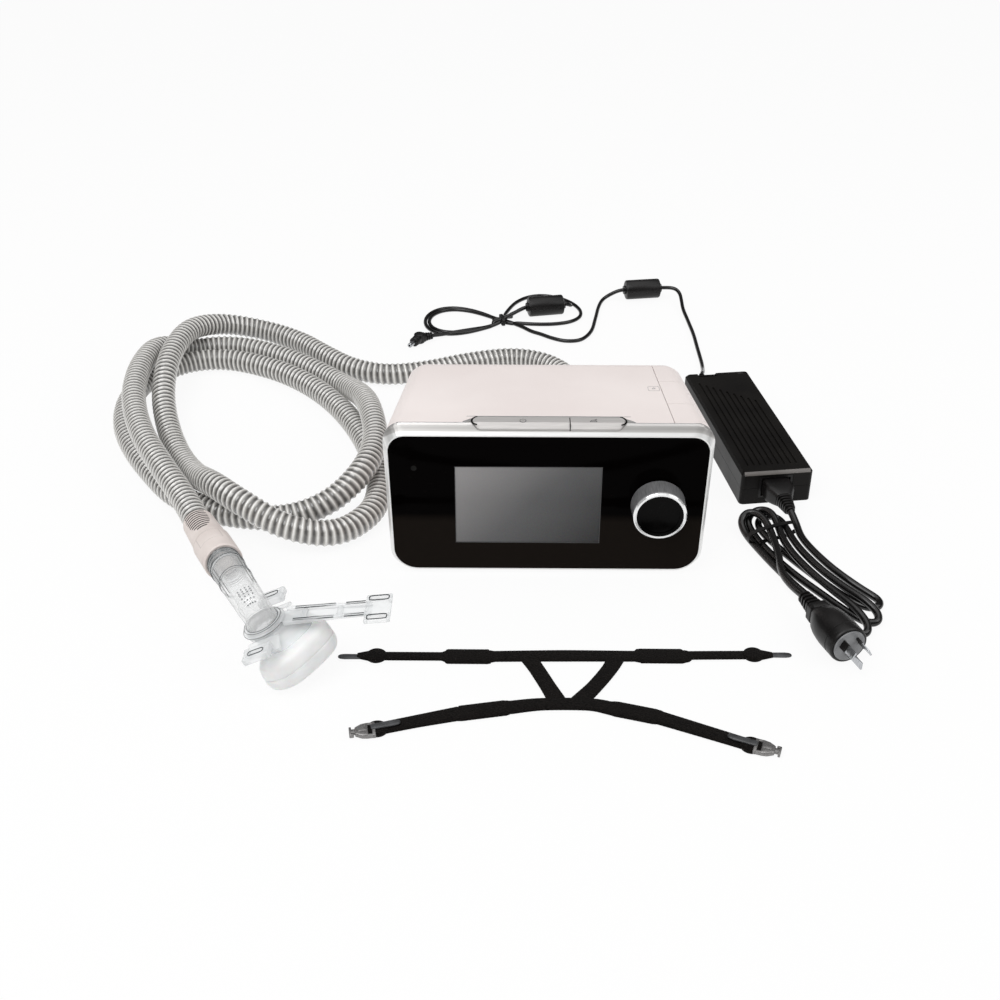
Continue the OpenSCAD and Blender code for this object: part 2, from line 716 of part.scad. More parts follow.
module tank_seal() {
    color("#9aa4aa") difference() {
        box([tank_x0, -tank_d / 2, tank_z0 + tank_h], [bulkhead_x, tank_d / 2, lid_z0]);
        box([tank_x0 + tank_wall, -tank_d / 2 + tank_wall, tank_z0 + tank_h - 1],
            [bulkhead_x - tank_wall, tank_d / 2 - tank_wall, lid_z0 + 1]);
    }
}

module tank_lid() {
    color("#dfe6ea") difference() {
        box([tank_x0, -tank_d / 2, lid_z0], [bulkhead_x, tank_d / 2, lid_z0 + lid_h]);
        box([tank_x0 + tank_wall, -tank_d / 2 + tank_wall, lid_z0 - 1],
            [bulkhead_x - tank_wall, tank_d / 2 - tank_wall, lid_z0 + lid_h - tank_wall]);
        for (s = [-1, 1]) translate([tank_x0 - 1, s * port_y, port_z]) rotate([0, 90, 0]) cylinder(r = port_hole_r - 1, h = tank_wall + 2);
    }
}

module port_seals() {
    color("#5c6166") for (s = [-1, 1]) translate([bay_x + bay_t, s * port_y, port_z]) rotate([0, 90, 0]) difference() {
        cylinder(r = port_hole_r + 3, h = tank_x0 - bay_x - bay_t - run_gap);
        translate([0, 0, -1]) cylinder(r = port_hole_r, h = tank_x0 - bay_x - bay_t + 2);
    }
}

module heater_plate() {
    color("#b5b8ba") union() {
        box([tank_x0 + 4, -tank_d / 2 + 6, plate_z - heater_t], [bulkhead_x - 4, tank_d / 2 - 6, plate_z]);
        for (x = [tank_x0 + 10, bulkhead_x - 10]) for (s = [-1, 1])
            translate([x, s * (tank_d / 2 - 12), floor_z]) cylinder(r = 4, h = plate_z - floor_z - 1);
    }
}

module blower_housing() {
    color("#e4e4e0") difference() {
        union() {
            translate([blower_x, blower_y, drum_z]) linear_extrude(2.6) rrect(2 * drum_r - 8, 2 * drum_r - 8, 6);
            translate([blower_x, blower_y, drum_z]) cylinder(r = drum_r, h = drum_h);
            box([blower_x, duct_y0, drum_z], [duct_x0, duct_y1, drum_z + drum_h]);
        }
        translate([blower_x, blower_y, drum_z + 2.6]) cylinder(r = drum_r - drum_wall, h = drum_h - 2.6 - drum_wall);
        translate([blower_x, blower_y, drum_z + drum_h - drum_wall - 1]) cylinder(r = 20, h = drum_wall + 2);
        box([blower_x, duct_y0 + duct_wall, drum_z + 2.6], [duct_x0 + 1, duct_y1 - duct_wall, drum_z + drum_h - drum_wall]);
    }
}

module blower_mounts() {
    color("#4a4a4a") for (x = [-1, 1]) for (y = [-1, 1])
        translate([blower_x + x * (drum_r - 10), blower_y + y * (drum_r - 10), floor_z]) cylinder(r = 5, h = mount_h);
}

module blower_motor() {
    color("#7d8287") translate([blower_x, blower_y, drum_z + 2.6]) difference() {
        cylinder(r = motor_r, h = motor_h);
        translate([0, 0, 2]) cylinder(r = motor_shaft_r + 0.1, h = motor_h);
    }
}

module motor_shaft() {
    color("silver") translate([blower_x, blower_y, drum_z + 2.6 + 2.4]) cylinder(r = motor_shaft_r, h = drum_h - 14);
}

module impeller() {
    z0 = drum_z + 2.6 + motor_h + 1.4;
    h = drum_z + drum_h - drum_wall - 1.5 - z0;
    color("#d2d6da") translate([blower_x, blower_y, z0]) difference() {
        union() {
            cylinder(r = fan_r, h = 1.6);
            cylinder(r = motor_shaft_r + 3, h = h - 6);
            for (k = [0 : fan_blades - 1]) rotate(360 * k / fan_blades) translate([22, 0, 1]) rotate(30)
                translate([0, -0.7, 0]) cube([fan_r - 23, 1.4, h - 1]);
        }
        translate([0, 0, -1]) cylinder(r = motor_shaft_r, h = h + 2);
    }
}

module air_duct() {
    color("#d9dcda") difference() {
        box([duct_x0, duct_y0, drum_z + 1], [duct_x1, duct_y1, duct_z1]);
        box([duct_x0 + duct_wall, duct_y0 + duct_wall, drum_z + 1 + duct_wall],
            [duct_x1 - duct_wall, duct_y1 - duct_wall, duct_z1 - duct_wall]);
        box([duct_x0 - 1, duct_y0 + duct_wall, drum_z + 4], [duct_x0 + duct_wall + 1, duct_y1 - duct_wall, drum_z + drum_h - 2]);
        translate([duct_x1 - duct_wall - 1, -port_y, port_z]) rotate([0, 90, 0]) cylinder(r = port_hole_r, h = duct_wall + 2);
    }
}

module outlet_duct() {
    z0 = port_z - outlet_half + 2;
    color("#d9dcda") difference() {
        union() {
            box([outlet_x0, port_y - 11, z0], [duct_x1, outlet_y1, z0 + 22]);
            box([outlet_x0, outlet_y0, z0], [outlet_x + outlet_half, outlet_y1, z0 + 22]);
            box([outlet_x - outlet_half, outlet_y0, outlet_z - outlet_half], [outlet_x + outlet_half, outlet_y1, z0 + 22]);
            rod_y(outlet_x, outlet_z, outlet_y1 - eps, y_rear + outlet_l, outlet_r);
        }
        box([outlet_x0 + duct_wall, port_y - 9, z0 + duct_wall], [duct_x1 - duct_wall, outlet_y1 - duct_wall, z0 + 22 - duct_wall]);
        box([outlet_x0 + duct_wall, outlet_y0 + duct_wall, z0 + duct_wall], [outlet_x + outlet_half - duct_wall, outlet_y1 - duct_wall, z0 + 22 - duct_wall]);
        box([outlet_x - outlet_half + duct_wall, outlet_y0 + duct_wall, outlet_z - outlet_half + duct_wall], [outlet_x + outlet_half - duct_wall, outlet_y1 - duct_wall, z0 + 20]);
        rod_y(outlet_x, outlet_z, outlet_y1 - duct_wall - 1, y_rear + outlet_l + 1, outlet_r - 2);
        translate([duct_x1 - duct_wall - 1, port_y, port_z]) rotate([0, 90, 0]) cylinder(r = port_hole_r, h = duct_wall + 2);
    }
}

module intake_box() {
    zb = drum_z + drum_h + 0.3;
    zt = filter_z + filter_h / 2 + 4;
    color("#d4d7d5") difference() {
        box([filter_x - filter_w / 2 - 4, blower_y - 24, zb], [blower_x + 24, y_rear - wall - 0.1, zt]);
        box([filter_x - filter_w / 2 - 2, blower_y - 22, zb + 2], [blower_x + 22, y_rear - wall - 2, zt - 2]);
        translate([blower_x, blower_y, zb - 1]) cylinder(r = 20, h = 4);
        box([filter_x - filter_w / 2 + 1, y_rear - wall - 3, filter_z - filter_h / 2 + 1],
            [filter_x + filter_w / 2 - 1, y_rear, filter_z + filter_h / 2 - 1]);
    }
}

module inlet_filter() {
    color("#eef1f2") box([filter_x - filter_w / 2 + 0.5, y_rear - wall - 0.1, filter_z - filter_h / 2 + 0.5],
        [filter_x + filter_w / 2 - 0.5, y_rear - 0.4, filter_z + filter_h / 2 - 0.5]);
}

module filter_cap() {
    color("#d6cfca") difference() {
        translate([filter_x, y_rear + 2.4, filter_z]) rotate([90, 0, 0]) linear_extrude(2.2)
            rrect(filter_w + 2 * cap_lap, filter_h + 2 * cap_lap, 5);
        for (k = [-2 : 2]) box([filter_x - filter_w / 2 + 2, y_rear - 1, filter_z + 5.5 * k - 1.4],
            [filter_x + filter_w / 2 - 2, y_rear + 4, filter_z + 5.5 * k + 1.4]);
    }
}

module dc_socket() {
    color("#222222") difference() {
        box([jack_x - 6, y_rear - 14, jack_z - 6], [jack_x + 6, y_rear - 0.6, jack_z + 6]);
        rod_y(jack_x, jack_z, y_rear - 0.6 - jack_depth, y_rear + 1, jack_r);
        rod_y(jack_x, jack_z, y_rear - 12.5, y_rear - jack_depth, jack_r - 0.6);
    }
    color("silver") rod_y(jack_x, jack_z, y_rear - 12.6, y_rear - 0.8 - jack_depth, 0.9);
    color("#2f6b45") box([jack_x - 9, y_rear - 14, floor_z], [jack_x + 9, y_rear - 12.4, jack_z + 6]);
}

module machine_cuff() {
    color("#e9e0dc") difference() {
        union() {
            rod_y(outlet_x, outlet_z, y_rear + 1.5, hose_route[0][1] - 12, outlet_r + 4);
            rod_y(outlet_x, outlet_z, hose_route[0][1] - 12 - eps, hose_route[0][1], hose_d / 2 + 1.6);
        }
        rod_y(outlet_x, outlet_z, y_rear, y_rear + outlet_l + 0.5, outlet_r + 0.03);
        rod_y(outlet_x, outlet_z, y_rear + outlet_l, hose_route[0][1] + 1, outlet_r - 2);
    }
}

module hose_tube() {
    color("#c9ccca") swept(hose_path, hose_d / 2, 12);
}

// Places along the grip cuff's own axis
module on_cuff(l) {
    translate(cuff_at) rotate([0, 0, cuff_turn]) rotate([0, 90 - cuff_tilt, 0]) translate([0, 0, l]) children();
}

module mask_cuff() {
    color("#e9e0dc") on_cuff(0) difference() {
        union() {
            cylinder(r1 = hose_d / 2 + 1.6, r2 = cuff_r - 0.8, h = cuff_l * 0.48);
            translate([0, 0, cuff_l * 0.48 - eps]) cylinder(r = cuff_r, h = cuff_l * 0.52);
        }
        translate([0, 0, cuff_l - 22]) cylinder(r = outlet_r + 0.03, h = 23);
        translate([0, 0, eps]) cylinder(r = outlet_r - 2, h = cuff_l);
    }
}

module mask_swivel() {
    color("#dfe4e6") on_cuff(cuff_l) difference() {
        union() {
            translate([0, 0, -20]) cylinder(r = outlet_r, h = 20 + swivel_l - 4);
            translate([0, 0, 1]) cylinder(r = outlet_r + 2.4, h = 3);
            translate([0, 0, 6]) cylinder(r = outlet_r + 2.8, h = swivel_l - 6);
        }
        translate([0, 0, -21]) cylinder(r = outlet_r - 2, h = 22 + swivel_l);
        translate([0, 0, swivel_l - 6]) cylinder(r = outlet_r + 0.05, h = 7);
    }
}

// The mask's own frame, with the port at its origin, the forehead along X and the outside along Z
module in_mask() {
    translate(mask_at) rotate(mask_turn) children();
}

elbow_l = norm(cuff_way) - cuff_l - swivel_l;

module mask_elbow() {
    color("#dfe4e6") difference() {
        union() {
            on_cuff(cuff_l + swivel_l - 5.6) cylinder(r = outlet_r, h = 7);
            on_cuff(cuff_l + swivel_l + 0.3) cylinder(r1 = elbow_r + 1.5, r2 = elbow_r - 0.2, h = elbow_l - 0.3);
            translate(elbow_at) sphere(r = elbow_r);
            in_mask() translate([0, 0, -9]) cylinder(r = port_r - 0.05, h = elbow_rise - 3);
            in_mask() translate([0, 0, 1]) cylinder(r = elbow_r - 0.4, h = elbow_rise - 1);
        }
        on_cuff(cuff_l + swivel_l - 7) cylinder(r = outlet_r - 2, h = elbow_l + 5);
        translate(elbow_at) sphere(r = elbow_r - 2);
        in_mask() translate([0, 0, -10]) cylinder(r = elbow_r - 2.4, h = elbow_rise + 9);
    }
}

module mask_frame() {
    color("#dfe4e6") in_mask() difference() {
        union() {
            translate([0, 0, -10]) cylinder(r = port_r + 2.4, h = 9);
            hull() {
                translate([0, 0, -8]) cylinder(r = port_r + 4, h = 3, $fn = 32);
                for (s = [-1, 1]) translate([2, s * (frame_w / 2 - 10), -10]) cylinder(r = 7, h = 4, $fn = 32);
                translate([24, 0, -9]) cylinder(r = 9, h = 4, $fn = 32);
                cushion_level(-21, 0.72, 1);
            }
            for (s = [-1, 1]) translate([0, s * (frame_w / 2 - 3), -8.5]) linear_extrude(6) difference() {
                rrect(22, 14, 3);
                translate([0, s]) square([12, 4.4], center = true);
            }
            translate([24, 0, -6]) rotate([0, 18, 0]) {
                for (s = [-1, 1]) box([0, s * 7 - 1.5, -2], [arm_l - 8, s * 7 + 1.5, 1.5]);
                for (x = [8, arm_l * 0.52]) box([x, -7, -2], [x + 5, 7, 1.5]);
                difference() {
                    translate([arm_l, 0, -2]) linear_extrude(3.5) rrect(20, 33, 4);
                    for (s = [-1, 1]) box([arm_l - 7, s * 12 - 2.2, -3], [arm_l + 7, s * 12 + 2.2, 3]);
                }
            }
        }
        translate([0, 0, -40]) cylinder(r = port_r, h = 60);
        hull() {
            translate([0, 0, -11.5]) cylinder(r = port_r + 2, h = 1, $fn = 32);
            cushion_level(-22, 0.62, 1);
        }
    }
}

// One level of the nasal cushion's rounded triangle
module cushion_level(z, k, h) {
    translate([cushion_x, 0, z]) {
        for (s = [-1, 1]) translate([-cushion_h * 0.19 * k, s * (cushion_w / 2 - 19) * k, 0]) cylinder(r = 19 * k, h = h, $fn = 32);
        translate([(cushion_h / 2 - 13) * k, 0, 0]) cylinder(r = 13 * k, h = h, $fn = 32);
    }
}

module mask_cushion() {
    color("#e6e8e8") in_mask() difference() {
        hull() {
            cushion_level(-22.2, 0.74, 1);
            cushion_level(-32, 1, 5);
            cushion_level(-40, 1, 3);
            cushion_level(-cushion_d, 0.84, 1);
        }
        hull() {
            cushion_level(-20, 0.62, 1);
            cushion_level(-33, 0.88, 5);
            cushion_level(-40, 0.88, 2);
            cushion_level(2 - cushion_d, 0.66, 1);
        }
        hull() {
            cushion_level(-cushion_d - 1, 0.5, 1);
            cushion_level(4 - cushion_d, 0.5, 1);
        }
    }
}

// A strap as a chain of rounded lengths through points with a width at each
module strap(p) {
    for (i = [0 : len(p) - 2]) hull() {
        translate([p[i][0], p[i][1], 0]) cylinder(r = p[i][2] / 2, h = fabric_t, $fn = 24);
        translate([p[i + 1][0], p[i + 1][1], 0]) cylinder(r = p[i + 1][2] / 2, h = fabric_t, $fn = 24);
    }
}

module headgear_straps() {
    color("#161616") union() {
        strap([[-135, -190, strap_w], [-82, -190, strap_w], [-76, -190, pad_w], [-48, -190, pad_w],
            [-42, -189, strap_w * 1.2], [66, -188, strap_w * 1.2], [72, -188, pad_w], [104, -188, pad_w], [112, -187, strap_w], [160, -186, strap_w]]);
        strap([[-127, -275, low_strap_w], [-75, -259, low_strap_w * 1.1], [-6, -246, low_strap_w], [28, -246, low_strap_w],
            [76, -259, low_strap_w * 1.1], [142, -290, low_strap_w]]);
        strap([[-16, -192, 14], [4, -243, 14]]);
        strap([[52, -192, 14], [22, -243, 14]]);
        for (q = [[-135, -190], [160, -186], [-127, -275], [142, -290]]) translate([q[0], q[1], 0]) cylinder(r = 8, h = fabric_t + 1);
    }
}

module strap_tabs() {
    color("#6d6f72") {
        translate([-154, -191, 0]) rotate(0) linear_extrude(fabric_t) rrect(22, 6, 2.9);
        translate([179, -186, 0]) rotate(0) linear_extrude(fabric_t) rrect(22, 6, 2.9);
        translate([-121, -273, fabric_t + 1.2]) rotate(17) linear_extrude(1.6) rrect(22, 6, 2.9);
        translate([136, -287, fabric_t + 1.2]) rotate(-25) linear_extrude(1.6) rrect(22, 6, 2.9);
    }
}

module strap_clips() {
    color("#8d8f91") for (q = [[-144.2, -279.3, 10], [158.2, -296.6, -20]]) translate([q[0], q[1], 0]) rotate(q[2]) linear_extrude(4.5) difference() {
        rrect(18, 15, 3);
        translate([q[2] > 0 ? 3 : -3, 0]) square([4.6, 9.6], center = true);
    }
}

// The adapter's own frame: its middle at the origin, its mains end towards -Y
module in_brick() {
    translate(brick_at) rotate(brick_turn) children();
}

module adapter_base() {
    color("#1c1c1d") in_brick() difference() {
        linear_extrude(brick_h / 2 - 0.15) rrect(brick_w, brick_l, 4);
        translate([0, 0, brick_wall]) linear_extrude(brick_h) rrect(brick_w - 2 * brick_wall, brick_l - 2 * brick_wall, 3);
        inlet_cut();
    }
}

// The opening in the adapter's front for the mains inlet
module inlet_cut() {
    box([conn_x - 16, -brick_l / 2 - 1, conn_z - 11.5], [conn_x + 16, -brick_l / 2 + brick_wall + 1, conn_z + 11.5]);
}

module adapter_top() {
    color("#1c1c1d") in_brick() difference() {
        hull() {
            translate([0, 0, brick_h / 2 + 0.15]) linear_extrude(brick_h / 2 - 3.15) rrect(brick_w, brick_l, 4);
            translate([0, 0, brick_h - 0.1]) linear_extrude(0.1) rrect(brick_w - 4, brick_l - 6, 3);
        }
        translate([0, 0, brick_h / 2 - 1]) linear_extrude(brick_h / 2 + 1 - brick_wall) rrect(brick_w - 2 * brick_wall, brick_l - 2 * brick_wall, 3);
        for (k = [0 : groove_n - 1]) {
            x = (k - (groove_n - 1) / 2) * groove_step - 1.8;
            box([x - groove_w / 2, -brick_l / 2 + 14, brick_h - 1], [x + groove_w / 2, brick_l / 2 - 25 - k * 5.5, brick_h + 1]);
        }
        box([relief_x - 10, brick_l / 2 - 10, relief_z + 8], [relief_x + 10, brick_l / 2 + 1, brick_h + 1]);
        translate([relief_x, brick_l / 2 - brick_wall - 1, relief_z]) rotate([-90, 0, 0]) cylinder(r = 4.2, h = brick_wall + 2);
        inlet_cut();
    }
}

module adapter_board() {
    color("#2f6b45") in_brick() {
        box([-brick_w / 2 + 5, -brick_l / 2 + 22, brick_wall], [brick_w / 2 - 5, brick_l / 2 - 16, brick_wall + 1.6]);
        for (q = [[-20, -50, 22, 14], [14, -46, 26, 16], [-14, 4, 34, 19], [18, 20, 12, 16], [-16, 52, 18, 14]])
            translate([q[0], q[1], brick_wall + 1.5]) translate([-q[2] / 2, -9, 0]) cube([q[2], 18, q[3]]);
    }
}

module adapter_inlet() {
    color("#111111") in_brick() difference() {
        box([conn_x - 15.8, -brick_l / 2 + 0.4, conn_z - 11.3], [conn_x + 15.8, -brick_l / 2 + 20, conn_z + 11.3]);
        box([conn_x - 13.6, -brick_l / 2 - 1, conn_z - 9.2], [conn_x + 13.6, -brick_l / 2 + 17, conn_z + 9.2]);
    }
}

module dc_relief() {
    color("#141414") in_brick() translate([relief_x, brick_l / 2 - 4, relief_z]) rotate([-90, 0, 0]) difference() {
        union() {
            cylinder(r = 6, h = 1.7);
            cylinder(r = 4.1, h = 8);
            translate([0, 0, 8 - eps]) cylinder(r1 = 4.1, r2 = dc_d / 2 + 0.5, h = relief_l - 6);
        }
    }
}

module dc_cable() {
    color("#141414") {
        swept(concat([dc_start, dc_start + turned([0, 3, 0], brick_turn)], dc_points), dc_d / 2, 8);
        swept(dc_plug_route, dc_d / 2, 8);
    }
}

// A tie's place across a bundle, w wide
module dc_tie_box(w) {
    translate(tie_at) rotate(15) translate([-w / 2, -dc_neck, -1]) cube([w, 2 * dc_neck, 3 * hank_h]);
}

// Middles and radii of the round ends of the bundle's two lobes
lobe_r = 34;
lobe_wide_r = 38;
lobe_at = laid([-103, 447, 0]);
lobe_wide_at = laid([14, 500, 0]);
dc_lobes = [[[lobe_at[0], lobe_at[1], lobe_r - 1], [lobe_at[0] + 7, lobe_at[1] + 15, lobe_r], [tie_at[0] + 4, tie_at[1] - 1, dc_neck]],
    [[lobe_wide_at[0], lobe_wide_at[1], lobe_wide_r], [lobe_wide_at[0], lobe_wide_at[1] - 22, lobe_wide_r], [tie_at[0] - 4, tie_at[1], dc_neck]]];

module dc_hank() {
    color("#141414") difference() {
        linear_extrude(hank_h) {
            for (lobe = dc_lobes) hull() for (c = lobe) translate([c[0], c[1]]) circle(c[2]);
        }
        on_ferrite(1) translate([0, 0, -ferrite_l / 2 - 0.3]) cylinder(r = ferrite_d / 2 + 0.2, h = ferrite_l + 0.6);
        difference() {
            dc_tie_box(tie_w);
            translate(tie_at + [0, 0, tie_t]) rotate(15) translate([-5, tie_t - dc_neck, 0]) cube([10, 2 * dc_neck - 2 * tie_t, hank_h - 2 * tie_t]);
        }
    }
}

module dc_tie() {
    color("#0c0c0c") translate(tie_at) rotate(15) difference() {
        translate([-tie_w / 2, -dc_neck, 0]) cube([tie_w, 2 * dc_neck, hank_h]);
        translate([-5, tie_t - dc_neck, tie_t]) cube([10, 2 * dc_neck - 2 * tie_t, hank_h - 2 * tie_t]);
    }
}

// Ferrite cores, the first on the open stretch and the second in the bundle
ferrite_at = [laid([134, 532, ferrite_d / 2 + 0.8]), laid([12, 478, ferrite_d / 2 + 0.8])];
ferrite_turn = [9, 12];

module on_ferrite(i) {
    translate(ferrite_at[i]) rotate([0, 0, ferrite_turn[i]]) rotate([0, 90, 0]) children();
}

module ferrite_cores() {
    color("#1a1a1a") for (i = [0, 1]) on_ferrite(i) difference() {
        translate([0, 0, -ferrite_l / 2]) cylinder(r = ferrite_d / 2, h = ferrite_l);
        translate([0, 0, -ferrite_l]) cylinder(r = dc_d / 2 + 0.6, h = 2 * ferrite_l);
    }
}

module dc_plug() {
    color("#141414") translate(plug_place) {
        rotate([0, 0, 205]) rotate([0, 90, 0]) cylinder(r1 = 4, r2 = 5.6, h = 16);
        translate([-14.6, -6.8, -5.9]) cylinder(r = 6.2, h = 11.8);
        translate([-14.6, -6.8, 0]) rotate([0, 0, 245]) rotate([0, 90, 0]) cylinder(r = 5.4, h = 14);
    }
    color("silver") translate(plug_place + [-14.6, -6.8, 0]) rotate([0, 0, 245]) rotate([0, 90, 0]) cylinder(r = 2.75, h = 24);
}

module mains_connector() {
    color("#111111") in_brick() translate([conn_x, -brick_l / 2 + 16.6, conn_z]) {
        rotate([90, 0, 0]) linear_extrude(16.6 + conn_l) rrect(26.6, 17.6, 4);
        translate([0, -16.6 - conn_l + eps, 0]) rotate([90, 0, 0]) cylinder(r1 = 7.5, r2 = mains_d / 2 + 1, h = relief_mains_l);
    }
}

module mains_cord() {
    color("#111111") {
        difference() {
            swept(concat([mains_start, mains_start + turned([0, -3, 0], brick_turn)], mains_points), mains_d / 2, 8);
            mains_form(0);
        }
        swept(concat([for (l = [0, 3]) plug_at - (plug_relief + l) * [cos(plug_turn), sin(plug_turn), 0]], plug_points), mains_d / 2, 8);
    }
}

// The mains bundle's form, drawn in by a
module mains_form(a) {
    translate([0, 0, a]) linear_extrude(bundle_h - 2 * a) hull() {
        translate([190, -2]) circle(15 - a);
        translate([262, -104]) circle(15 - a);
        translate([252, -152]) circle(13 - a);
        translate([206, -84]) circle(14 - a);
    }
}

module mains_tie_box() {
    translate([202, -16, -1]) rotate(-54) translate([-tie_w / 2, -40, 0]) cube([tie_w, 80, bundle_h + 2]);
}

module mains_hank() {
    color("#111111") difference() {
        mains_form(0);
        difference() {
            mains_tie_box();
            mains_form(tie_t);
        }
    }
}

module mains_tie() {
    color("#0c0c0c") intersection() {
        mains_tie_box();
        difference() {
            mains_form(0);
            mains_form(tie_t);
        }
    }
}

module mains_plug() {
    color("#141414") translate(plug_at) rotate([0, 0, plug_turn]) rotate([0, 90, 0]) {
        translate([0, 0, -plug_relief]) cylinder(r1 = 5.5, r2 = 8, h = plug_relief + 4);
        cylinder(r1 = 9, r2 = 16, h = 30);
        translate([0, 0, 30 - eps]) cylinder(r = 16, h = 24);
    }
    color("silver") translate(plug_at) rotate([0, 0, plug_turn]) {
        for (s = [-1, 1]) translate([53, s * 7, 4]) rotate([s * 30, 0, 0]) translate([0, -0.8, -3.2]) cube([18, 1.6, 6.4]);
        translate([53, -0.8, -9]) cube([20, 1.6, 6.4]);
    }
}

base_tray();
upper_housing();
front_bezel();
front_panel();
display_module();
main_board();
rubber_feet();
housing_screws();
encoder_base();
encoder_plunger();
encoder_shaft();
knob_body();
knob_ring();
knob_cap();
power_button();
ramp_button();
button_board();
tank_end_cover();
tank_latch();
water_tank();
tank_seal();
tank_lid();
port_seals();
heater_plate();
blower_housing();
blower_mounts();
blower_motor();
motor_shaft();
impeller();
air_duct();
outlet_duct();
intake_box();
inlet_filter();
filter_cap();
dc_socket();
machine_cuff();
hose_tube();
mask_cuff();
mask_swivel();
mask_elbow();
mask_frame();
mask_cushion();
headgear_straps();
strap_tabs();
strap_clips();
adapter_base();
adapter_top();
adapter_board();
adapter_inlet();
dc_relief();
dc_cable();
dc_hank();
dc_tie();
ferrite_cores();
dc_plug();
mains_connector();
mains_cord();
mains_hank();
mains_tie();
mains_plug();
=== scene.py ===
# A two-pressure breathing machine with its hose, nasal mask, headgear and power adapter,
# dressed over its CAD frame. Everything is in metres; sizes in the dictionaries are millimetres.
import json
import math
import bmesh
import bpy
import numpy as np
from mathutils import Matrix


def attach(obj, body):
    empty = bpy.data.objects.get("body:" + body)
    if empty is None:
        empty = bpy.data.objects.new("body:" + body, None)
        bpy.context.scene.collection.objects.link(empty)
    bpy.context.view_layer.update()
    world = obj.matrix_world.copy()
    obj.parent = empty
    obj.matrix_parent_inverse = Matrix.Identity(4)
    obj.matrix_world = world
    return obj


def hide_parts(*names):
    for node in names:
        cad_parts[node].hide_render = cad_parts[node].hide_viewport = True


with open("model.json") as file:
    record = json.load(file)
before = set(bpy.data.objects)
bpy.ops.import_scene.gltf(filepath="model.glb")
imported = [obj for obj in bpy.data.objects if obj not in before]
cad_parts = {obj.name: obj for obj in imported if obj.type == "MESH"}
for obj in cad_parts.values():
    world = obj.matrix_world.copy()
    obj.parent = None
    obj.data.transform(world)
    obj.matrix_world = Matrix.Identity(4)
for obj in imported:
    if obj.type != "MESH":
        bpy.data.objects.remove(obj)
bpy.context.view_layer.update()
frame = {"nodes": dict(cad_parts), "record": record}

mm = 0.001
crease = math.radians(42)  # an edge that bends by more stays crisp


def linear(hexColour):
    # sRGB to linear light: c / 12.92 at the dark end, else ((c + 0.055) / 1.055) ^ 2.4
    c = np.array([int(hexColour[i:i + 2], 16) for i in (1, 3, 5)]) / 255
    c = np.where(c <= 0.04045, c / 12.92, ((c + 0.055) / 1.055) ** 2.4)
    return (*map(float, c), 1.0)


def feed(tree, node, inputs):
    # each input named gets a value, or a link from a socket or from a node's first output
    for key, value in inputs.items():
        if isinstance(value, bpy.types.Node):
            value = value.outputs[0]
        if isinstance(value, bpy.types.NodeSocket):
            tree.links.new(value, node.inputs[key])
        else:
            node.inputs[key].default_value = value


def addNode(tree, kind, inputs=None, stops=(), **settings):
    # one shader node with its settings, its inputs and, on a colour ramp, its stops as (place, hex colour)
    node = tree.nodes.new("ShaderNode" + kind)
    for key, value in settings.items():
        setattr(node, key, value)
    feed(tree, node, inputs or {})
    for i, (at, colour) in enumerate(stops):
        stop = node.color_ramp.elements[i] if i < 2 else node.color_ramp.elements.new(at)
        stop.position, stop.color = at, linear(colour)
    return node


def unit(v):
    # v over its own length, row by row
    return v / np.maximum(np.linalg.norm(v, axis=-1, keepdims=True), 1e-12)


def turned(axis, degrees):
    # the matrix of a turn about X, Y or Z: the other two axes swing by the cosine and the sine
    c, s = math.cos(math.radians(degrees)), math.sin(math.radians(degrees))
    i = "XYZ".index(axis)
    j, k = (i + 1) % 3, (i + 2) % 3
    matrix = np.eye(3)
    matrix[j, j] = matrix[k, k] = c
    matrix[j, k], matrix[k, j] = -s, s
    return matrix


def smoothLine(points, count, closed=False):
    # a Catmull-Rom curve through the points: between b and c, with a before and d after, half of
    # 2 b + (c - a) t + (2 a - 5 b + 4 c - d) t^2 + (3 b - a - 3 c + d) t^3; then equal steps along
    # its length
    p = np.array(points, float)
    if closed:
        p = np.vstack([p[-1], p, p[0], p[1]])
    else:
        p = np.vstack([2 * p[0] - p[1], p, 2 * p[-1] - p[-2]])
    t = np.linspace(0, 1, 40, endpoint=False)[None, :, None]
    a, b, c, d = (p[i:len(p) - 3 + i, None] for i in range(4))
    fine = 0.5 * (
        2 * b + (c - a) * t + (2 * a - 5 * b + 4 * c - d) * t ** 2 + (3 * b - a - 3 * c + d) * t ** 3)
    fine = np.vstack([fine.reshape(-1, 3), c[-1]])
    along = np.concatenate([[0], np.cumsum(np.linalg.norm(np.diff(fine, axis=0), axis=1))])
    want = np.linspace(0, along[-1], count + 1)[:-1] if closed else np.linspace(0, along[-1], count)
    return np.stack([np.interp(want, along, fine[:, k]) for k in range(3)], axis=1)


def relaxed(line, reach):
    # each point moved to the mean of its neighbours, weighted by a bell curve of the given reach; the
    # ends stay
    step = lineLength(line) / (len(line) - 1)
    n = int(3 * reach / step)
    bell = np.exp(-0.5 * (np.arange(-n, n + 1) * step / reach) ** 2)
    wide = np.vstack([2 * line[0] - line[n:0:-1], line, 2 * line[-1] - line[-2:-n - 2:-1]])
    return np.stack([np.convolve(wide[:, k], bell / bell.sum(), "valid") for k in range(3)], axis=1)


def lineLength(line):
    # the sum of the steps between its points
    return float(np.linalg.norm(np.diff(line, axis=0), axis=1).sum())


def framesAlong(line, up=(0, 0, 1)):
    # at each point the way t, a side u level with the table and v, which completes the set
    t = unit(np.gradient(line, axis=0))
    u = unit(np.cross(np.array(up, float), t))
    return t, u, np.cross(t, u)


def linked(name, data):
    # an object of the data, put in the scene
    thing = bpy.data.objects.new(name, data)
    bpy.context.scene.collection.objects.link(thing)
    return thing


